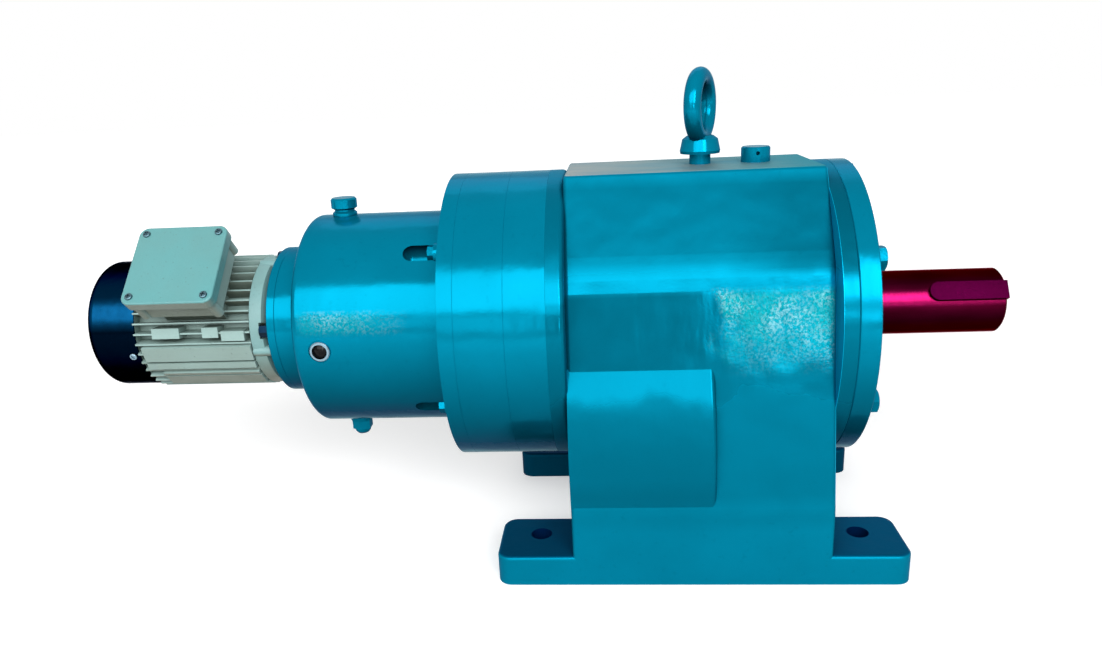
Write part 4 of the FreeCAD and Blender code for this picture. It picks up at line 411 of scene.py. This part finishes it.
def pad_reflection(tree, x):
    """Painted reflection on the machined top pad, grey and streaky."""
    streaks = noise(tree, scale=26.0, detail=5.0, stretch=(0.5, 1, 1))
    # Painted reflection: grey from left to right, for the bright background seen at a grazing angle
    thin = mix(tree, rise(tree, x, *PAD_SPAN), shade(PAD_REFLECTION_LEFT), shade(PAD_REFLECTION_RIGHT))
    return mix(tree, spread(tree, streaks, 0.0, 0.4), thin, shade(TEAL, 1.2))


def casing_tone(tree, matt, pad, x, y, z):
    """Paint of the casing, with painted shade on the walls, foot tops, rear foot, bolt holes and lower swell,
    painted light in the flange lip, and painted reflection on the top pad.
    """
    wall = times(tree, rise(tree, z, *WALL_LOW, top=0.65), fall(tree, z, *WALL_HIGH))
    lip = times(tree, rise(tree, x, *LIP_LEFT), fall(tree, x, *LIP_RIGHT), rise(tree, z, *LIP_LOW))
    foot = times(tree, fall(tree, z, *FOOT_EDGE, top=0.75), rise(tree, facing_up(tree), *FOOT_FACING))
    rear = times(tree, fall(tree, z, *REAR_TOP, top=0.8), rise(tree, y, *REAR_SIDE))
    swell = times(tree, matt, rise(tree, z, *SWELL_LOW, top=0.4), fall(tree, x, *SWELL_RIGHT))
    # Painted shade on the walls, with a painted highlight over the crease
    tone = mix(tree, wall, enamel_tone(tree), wall_shade_and_highlight(tree, x, z))
    # Painted light in the shaded neck at the flange lip
    tone = mix(tree, lip, tone, shade(TEAL, 2.2))
    # Painted shade on the foot tops
    tone = mix(tree, foot, tone, shade(FOOT_SHADE))
    # Painted shade on the rear foot
    tone = mix(tree, rear, tone, shade(FOOT_SHADE, 0.4))
    # Painted shade in the foot holes
    tone = mix(tree, foot_holes(tree, x, y, z), tone, shade(HOLE_SHADE))
    # Painted shade on the lower swell
    tone = mix(tree, swell, tone, shade(TEAL, 0.35))
    # Painted reflection on the top pad
    return mix(tree, pad, tone, pad_reflection(tree, x))


def casing_grain_and_glints(tree, x, y, z):
    """1 on the rough front wall to the right of the swell, with a ragged left edge; it carries grain, roughness and
    painted glints.
    """
    patch = noise(tree, scale=34.0, detail=4.0)
    ragged = calc(tree, "MULTIPLY_ADD", patch, 0.09, x)
    across = times(tree, rise(tree, ragged, *GRAIN_LEFT), fall(tree, x, *GRAIN_RIGHT))
    upright = times(tree, fall(tree, z, *GRAIN_HIGH), rise(tree, z, *GRAIN_LOW, top=0.9))
    density = spread(tree, patch, 0.45, 1.0, 0.35, 0.6)
    return times(tree, fall(tree, y, *GRAIN_FRONT), across, upright, density)


def casing_enamel(name):
    """Enamel of the casing: painted reflection on the machined top pad, dull above the crease, grainy with painted
    glints on the rough front wall.
    """
    made, tree, shader = blank_enamel(name)
    x, y, z = axes(tree)
    worn = calc(tree, "MULTIPLY_ADD", noise(tree, scale=16.0, detail=4.0), 0.07, z)
    matt = fall(tree, worn, *MATT_HIGH)
    pad = rise(tree, z, *PAD_EDGE)
    grain = casing_grain_and_glints(tree, x, y, z)
    rough = blend(tree, rise(tree, z, *DULL_LOW), enamel_roughness(tree), 0.36)
    rough = blend(tree, matt, rough, 0.42)
    rough = blend(tree, grain, rough, 0.20)
    dress(tree, shader, Roughness=blend(tree, pad, rough, 0.45))
    tone = casing_tone(tree, matt, pad, x, y, z)
    grain_and_glints(tree, shader, grain, tone, enamel_relief(tree, swing=0.0022))
    return made


def cast_paint(name, colour, rough=0.5):
    """Thin paint on die-cast aluminium, with a painted sky reflection on upper faces and painted shade on faces
    turned down, grain, flecks of grime and painted shade in the low places.
    """
    made, tree, shader = blank(name)
    cloud = noise(tree, scale=25.0, detail=5.0)
    speck = noise(tree, scale=330.0, detail=2.0)
    hollow = openness(tree, distance=0.012)
    # Painted sky reflection on upper faces, painted shade on faces turned down
    tone = mix(tree, rise(tree, facing_up(tree), *CREAM_FACING), shade(CREAM_SHADED), shade(colour))
    tone = mix(tree, spread(tree, cloud, 0.0, 0.16), tone, shade(CREAM_SHADED, 0.7))
    # Painted shade in hollows
    tone = mix(tree, fall(tree, hollow, 0.15, 0.75, top=0.75), tone, shade(GRIME_AND_SHADE))
    tone = mix(tree, rise(tree, speck, 0.66, 0.80, top=0.5), tone, shade(GRIME_AND_SHADE))
    gloss = spread(tree, noise(tree, scale=60.0), rough * 0.8, rough * 1.2)
    grain = bump(tree, noise(tree, scale=700.0, detail=2.0), 0.00015)
    relief = bump(tree, noise(tree, scale=90.0, detail=2.0), 0.0005, below=grain)
    dress(tree, shader, Base_Color=tone, Roughness=gloss, Normal=relief)
    return made


def gloss_black(name, colour, painted_highlight, edge):
    """Stoved black on sheet steel: dark, with a painted blue highlight on its upper flank and faint ripples."""
    made, tree, shader = blank(name)
    cloud = noise(tree, scale=40.0, detail=4.0)
    flank = facing_up(tree)
    # Painted blue highlight on the upper flank
    highlight_band = times(tree, rise(tree, flank, *BLACK_HIGHLIGHT_BELOW), spread(tree, flank, 1.0, 0.35, *BLACK_HIGHLIGHT_ABOVE))
    tone = mix(tree, cloud, shade(colour, 0.8), shade(colour, 1.2))
    tone = mix(tree, highlight_band, tone, shade(painted_highlight))
    gloss = spread(tree, noise(tree, scale=120.0), 0.20, 0.28)
    ripples = bump(tree, noise(tree, scale=55.0, detail=2.0), 0.0004)
    dress(tree, shader, Base_Color=tone, Roughness=gloss, Normal=ripples)
    dress(tree, shader, Metallic=1.0, Specular_Tint=shade(edge))
    return made


def lacquer(name, colour, thin, glow):
    """Clear coloured lacquer over turned steel: fine rings, brushed thin and thick, with a painted highlight on its
    front flank and painted shade on its top and underside.
    """
    made, tree, shader = blank(name)
    rings = noise(tree, scale=90.0, stretch=(30, 0.6, 0.6))
    film = noise(tree, scale=26.0, detail=4.0, stretch=(0.5, 1.5, 1.5))
    flank = facing_up(tree)
    # Painted highlight on the front flank
    highlight_band = times(tree, rise(tree, flank, *LACQUER_HIGHLIGHT_BELOW, top=0.9), fall(tree, flank, *LACQUER_HIGHLIGHT_ABOVE))
    tone = mix(tree, spread(tree, film, 0.0, 1.0), shade(colour, 0.7), shade(thin))
    tone = mix(tree, highlight_band, tone, shade(glow))
    # Painted shade on the top and underside
    tone = mix(tree, rise(tree, flank, *LACQUER_TOP_SHADE, top=0.6), tone, shade(colour, 0.25))
    tone = mix(tree, fall(tree, flank, *LACQUER_UNDER_SHADE, top=0.75), tone, shade(colour, 0.2))
    gloss = spread(tree, film, 0.16, 0.28)
    dress(tree, shader, Base_Color=tone, Roughness=gloss, Normal=bump(tree, rings, 0.00012))
    dress(tree, shader, Metallic=1.0, Specular_Tint=LACQUER_TINT)
    return made


def metal(name, colour, rough, stretch=(1, 1, 1)):
    """Bare or plated metal; stretch draws out its tool marks."""
    made, tree, shader = blank(name)
    cloud = noise(tree, scale=45.0, detail=4.0)
    tone = mix(tree, cloud, shade(colour, 0.8), shade(colour, 1.15))
    gloss = spread(tree, noise(tree, scale=110.0), rough * 0.75, rough * 1.3)
    marks = bump(tree, noise(tree, scale=260.0, detail=2.0, stretch=stretch), 0.0001)
    dress(tree, shader, Base_Color=tone, Roughness=gloss, Normal=marks, Metallic=1.0)
    return made


def moulded(name, colour, rough):
    """Rubber or plastic with a fine mould grain."""
    made, tree, shader = blank(name)
    tone = mix(tree, noise(tree, scale=60.0), shade(colour, 0.8), shade(colour, 1.25))
    gloss = spread(tree, noise(tree, scale=200.0), rough * 0.85, rough * 1.15)
    grain = bump(tree, noise(tree, scale=500.0, detail=2.0), 0.00012)
    dress(tree, shader, Base_Color=tone, Roughness=gloss, Normal=grain)
    return made


def glass(name, colour, node):
    """Dark glass of a round lens, domed about the middle of its node."""
    made, tree, shader = blank(name)
    film = noise(tree, scale=150.0)
    low_lens, high_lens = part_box(node)
    away = vector_value(tree, "DISTANCE", coordinates(tree), (Vector(low_lens) + Vector(high_lens)) / 2)
    dome = times(tree, away, away, -0.5 / LENS_CURVE)
    tone = mix(tree, film, shade(colour, 0.6), shade(colour, 1.3))
    gloss = spread(tree, film, 0.04, 0.10)
    dress(tree, shader, Base_Color=tone, Roughness=gloss, Normal=bump(tree, dome, 1.0), IOR=LENS_IOR)
    return made


FINISHES = {
    "teal_enamel": enamel("teal_enamel_finish"),
    "cream_aluminium": cast_paint("cream_aluminium_finish", CREAM),
    "black_enamel": gloss_black("black_enamel_finish", BLACK, BLACK_HIGHLIGHT, BLACK_EDGE),
    "red_lacquer": lacquer("red_lacquer_finish", SHAFT_RED, SHAFT_THIN, SHAFT_HIGHLIGHT),
    "key_lacquer": lacquer("key_lacquer_finish", KEY_RED, KEY_THIN, KEY_HIGHLIGHT),
    "seal_rubber": moulded("seal_rubber_finish", RUBBER, rough=0.7),
    "zinc_steel": metal("zinc_steel_finish", ZINC, rough=0.28),
    "sight_glass": glass("sight_glass_finish", LENS_DARK, "sight_glass_lens"),
    "copper_wire": metal("copper_wire_finish", COPPER, rough=0.35, stretch=(1, 8, 8)),
    "stud_brass": metal("stud_brass_finish", BRASS, rough=0.25),
    "black_plastic": moulded("black_plastic_finish", PLASTIC, rough=0.45),
    "lamination": metal("lamination_finish", SHEET_STEEL, rough=0.5, stretch=(14, 1, 1)),
    "gear_steel": metal("gear_steel_finish", GEAR_STEEL, rough=0.26, stretch=(1, 4, 4)),
}

# Nodes whose finish differs from the rest of their slot
OWN_FINISHES = {
    "main_housing": casing_enamel("casing_enamel_finish"),
    "terminal_cover": cast_paint("lid_finish", LID, rough=0.4),
    "drive_end_shield": cast_paint("shield_finish", SHIELD),
    "primary_housing": primary_enamel("primary_enamel_finish"),
    "terminal_cover_screws": metal("lid_screw_finish", LID_SCREW, rough=0.3),
    "motor_flange_bolts": metal("bolt_black_finish", BOLT_BLACK, rough=0.3),
}

slots = {name: solid.data.materials[0].name.split(".")[0] for name, solid in frame["nodes"].items()}
for name, solid in frame["nodes"].items():
    solid.material_slots[0].material = OWN_FINISHES.get(name, FINISHES[slots[name]])


def turns(count):
    """Angles that divide a full turn evenly."""
    return [2 * math.pi * i / count for i in range(count)]


def circle(radius, height, count):
    """Points of a circle around Z."""
    return [Vector((radius * math.cos(t), radius * math.sin(t), height)) for t in turns(count)]


def hex_bolt(flats, head, shank, length):
    """Rings of a chamfered hexagon bolt along +Z, with the seat of its head at zero."""
    count = 48
    washer = 0.48 * flats
    washer_height = 0.06 * head
    chamfer = math.tan(math.radians(30))
    wall = []
    crown = []
    for t in turns(count):
        reach = flats / 2 / math.cos(t % (math.pi / 3) - math.pi / 6)
        rim = head - (reach - washer) * chamfer
        wall.append(Vector((reach * math.cos(t), reach * math.sin(t), washer_height)))
        crown.append(Vector((reach * math.cos(t), reach * math.sin(t), rim)))
    tip = [circle(0.85 * shank, -length, count), circle(shank, 0.15 * shank - length, count)]
    seat = [circle(shank, 0.0, count), circle(washer, 0.0, count), circle(washer, washer_height, count)]
    return tip + seat + [wall, crown, circle(washer, head, count)]


def cross_screw(radius, head, shank, length):
    """Rings of a pan head screw with a cross recess, seat of the head at zero."""
    count = 64
    recess_reach = 0.62 * radius
    recess_half = 0.13 * radius
    recess_floor = 0.30 * head
    rings = [circle(0.6 * shank, -length, count), circle(shank, shank - length, count), circle(shank, 0.0, count)]
    rings += [circle(radius, 0.0, count), circle(radius, 0.45 * head, count)]
    rings.append(circle(0.93 * radius, 0.72 * head, count))
    for step in range(12):
        reach = radius * (0.84 - 0.07 * step)
        dome = head * (1.0 - 0.22 * (reach / radius) ** 2)
        ring = circle(reach, dome, count)
        for point in ring:
            if reach < recess_reach and min(abs(point.x), abs(point.y)) < recess_half:
                point.z = recess_floor
        rings.append(ring)
    return rings


def placed(base, axis, spin):
    """Frame at a point with its Z along an axis."""
    turn = axis.to_track_quat("Z", "Y").to_matrix().to_4x4()
    return Matrix.Translation(base) @ turn @ Matrix.Rotation(spin, 4, "Z")


def around(x, radius, start, count):
    """Points of a ring around the shaft line, by elevation at the front."""
    points = []
    for t in turns(count):
        lift = math.radians(start) + t
        points.append(Vector((x, -radius * math.cos(lift), AXIS_HEIGHT + radius * math.sin(lift))))
    return points


def on_ring(axis, **ring):
    """Frames of a ring of bolts, each turned further than the one before."""
    return [placed(point, axis, i) for i, point in enumerate(around(**ring))]


def on_lid(half_x, half_y, height):
    """Frames of the screws at the corners of the terminal box lid."""
    low_box, high_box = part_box("terminal_cover")
    centre = Vector(((low_box.x + high_box.x) / 2, 0, AXIS_HEIGHT)) + LID_LINE * height
    corners = [centre + TO_OUTPUT * sx * half_x + LID_SIDE * sy * half_y for sx in (-1, 1) for sy in (-1, 1)]
    return [placed(point, LID_LINE, 0.7 * i) for i, point in enumerate(corners)]


def on_cowl(**ring):
    """Frames of the screws around the fan cowl, pointing outwards."""
    frames = []
    for point in around(**ring):
        outwards = (point - Vector((point.x, 0, AXIS_HEIGHT))).normalized()
        frames.append(placed(point, outwards, 0.5))
    return frames


def stand_in(node, rings, frames):
    """One piece of lofted copies that stands for a fastener node of the housing."""
    points = []
    faces = []
    count = len(rings[0])
    for turn in frames:
        first = len(points)
        last = first + (len(rings) - 1) * count
        points += [turn @ point for ring in rings for point in ring]
        for lower in range(first, last, count):
            upper = lower + count
            for j in range(count):
                k = (j + 1) % count
                faces.append((lower + j, lower + k, upper + k, upper + j))
        faces.append(tuple(reversed(range(first, first + count))))
        faces.append(tuple(range(last, last + count)))
    mesh = bpy.data.meshes.new(node + "_detail")
    mesh.from_pydata(points, [], faces)
    mesh.polygons.foreach_set("use_smooth", [True] * len(faces))
    mesh.set_sharp_from_angle(angle=SHARP_ANGLE)
    cad = frame["nodes"][node]
    mesh.materials.append(cad.material_slots[0].material)
    made = bpy.data.objects.new(node + "_detail", mesh)
    bpy.context.scene.collection.objects.link(made)
    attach(made, "housing")
    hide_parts(node)


stand_in("output_cover_bolts", hex_bolt(flats=0.022, head=0.009, shank=0.007, length=0.032),
         on_ring(TO_OUTPUT, x=0.165, radius=0.142, start=32.5, count=6))
stand_in("primary_flange_bolts", hex_bolt(flats=0.016, head=0.007, shank=0.005, length=0.022),
         on_ring(-TO_OUTPUT, x=-0.266, radius=0.116, start=48.0, count=4))
stand_in("motor_flange_bolts", hex_bolt(flats=0.013, head=0.011, shank=0.004, length=0.0275),
         on_ring(-TO_OUTPUT, x=-0.4555, radius=0.072, start=5.0, count=4))
stand_in("terminal_cover_screws", cross_screw(radius=0.004, head=0.0024, shank=0.002, length=0.022),
         on_lid(half_x=0.040, half_y=0.039, height=0.1215))
stand_in("cowl_screws", cross_screw(radius=0.004, head=0.0023, shank=0.002, length=0.008),
         on_cowl(x=-0.6172, radius=0.0728, start=-16.0, count=4))


def seen_or_not(tree, unseen, seen, output):
    """One shader for camera, glossy and transmission rays, another for the rest."""
    rays = add(tree, "LightPath").outputs
    direct = calc(tree, "MAXIMUM", rays["Is Camera Ray"], rays["Is Glossy Ray"])
    factor = calc(tree, "MAXIMUM", direct, rays["Is Transmission Ray"])
    both = fill(tree, add(tree, "MixShader"), (factor, unseen.outputs[0], seen.outputs[0]))
    put(tree, tree.nodes[output].inputs["Surface"], both.outputs[0])


def world():
    """White background that lights the object less than it shows."""
    made = bpy.data.worlds.new("studio")
    made.use_nodes = True
    tree = made.node_tree
    light = add(tree, "Background", Color=WHITE, Strength=SKY_LEVEL)
    seen = add(tree, "Background", Color=WHITE, Strength=BACKGROUND_LEVEL)
    seen_or_not(tree, light, seen, "World Output")
    bpy.context.scene.world = made


def floor():
    """Pale floor that keeps the shadow near the object and fades to white away from it."""
    half = FLOOR_HALF
    mesh = bpy.data.meshes.new("floor")
    corners = [(-half, -half, 0), (half, -half, 0), (half, half, 0), (-half, half, 0)]
    mesh.from_pydata(corners, [], [(0, 1, 2, 3)])
    made = bpy.data.objects.new("floor", mesh)
    bpy.context.scene.collection.objects.link(made)
    finish, tree, shader = blank("floor_finish")
    tree.nodes.remove(shader)
    grey = add(tree, "BsdfDiffuse", Color=FLOOR_GREY)
    pale = add(tree, "BsdfDiffuse", Color=FLOOR_PALE)
    away = vector_value(tree, "LENGTH", coordinates(tree))
    glow = spread(tree, away, *FLOOR_GLOW, *FLOOR_GLOW_REACH)
    lift = add(tree, "Emission", Color=WHITE, Strength=glow)
    white = fill(tree, add(tree, "AddShader"), (pale.outputs[0], lift.outputs[0]))
    seen_or_not(tree, grey, white, "Material Output")
    mesh.materials.append(finish)


def camera():
    """Camera with its axes squared to the fitted directions."""
    data = bpy.data.cameras.new("camera")
    data.sensor_width = CAMERA_SENSOR
    data.lens = CAMERA_LENS
    data.clip_start = 0.01
    data.clip_end = 100.0
    made = bpy.data.objects.new("camera", data)
    bpy.context.scene.collection.objects.link(made)
    back = -CAMERA_FORWARD.normalized()
    right = (CAMERA_RIGHT - back * CAMERA_RIGHT.dot(back)).normalized()
    up = back.cross(right)
    turn = Matrix((right, up, back)).transposed().to_4x4()
    made.matrix_world = Matrix.Translation(CAMERA_PLACE) @ turn
    bpy.context.scene.camera = made


def softbox(name, elevation, distance, shift, width, height, radiance):
    """Rectangular lamp as bright as its radiance, in front of the object, or behind it at a negative distance."""
    lamp = bpy.data.lights.new(name, "AREA")
    lamp.shape = "RECTANGLE"
    lamp.size = width
    lamp.size_y = height
    lamp.energy = radiance * width * height * math.pi
    made = bpy.data.objects.new(name, lamp)
    bpy.context.scene.collection.objects.link(made)
    lift = math.radians(elevation)
    aim = AIM + Vector((shift, 0, 0))
    made.location = AIM + Vector((shift, -distance * math.cos(lift), abs(distance) * math.sin(lift)))
    made.rotation_euler = (aim - made.location).to_track_quat("-Z", "Y").to_euler()
    made.visible_camera = False


world()
floor()
camera()
for lamp_values in LAMPS:
    softbox(*lamp_values)

bpy.context.scene.view_settings.view_transform = "Standard"
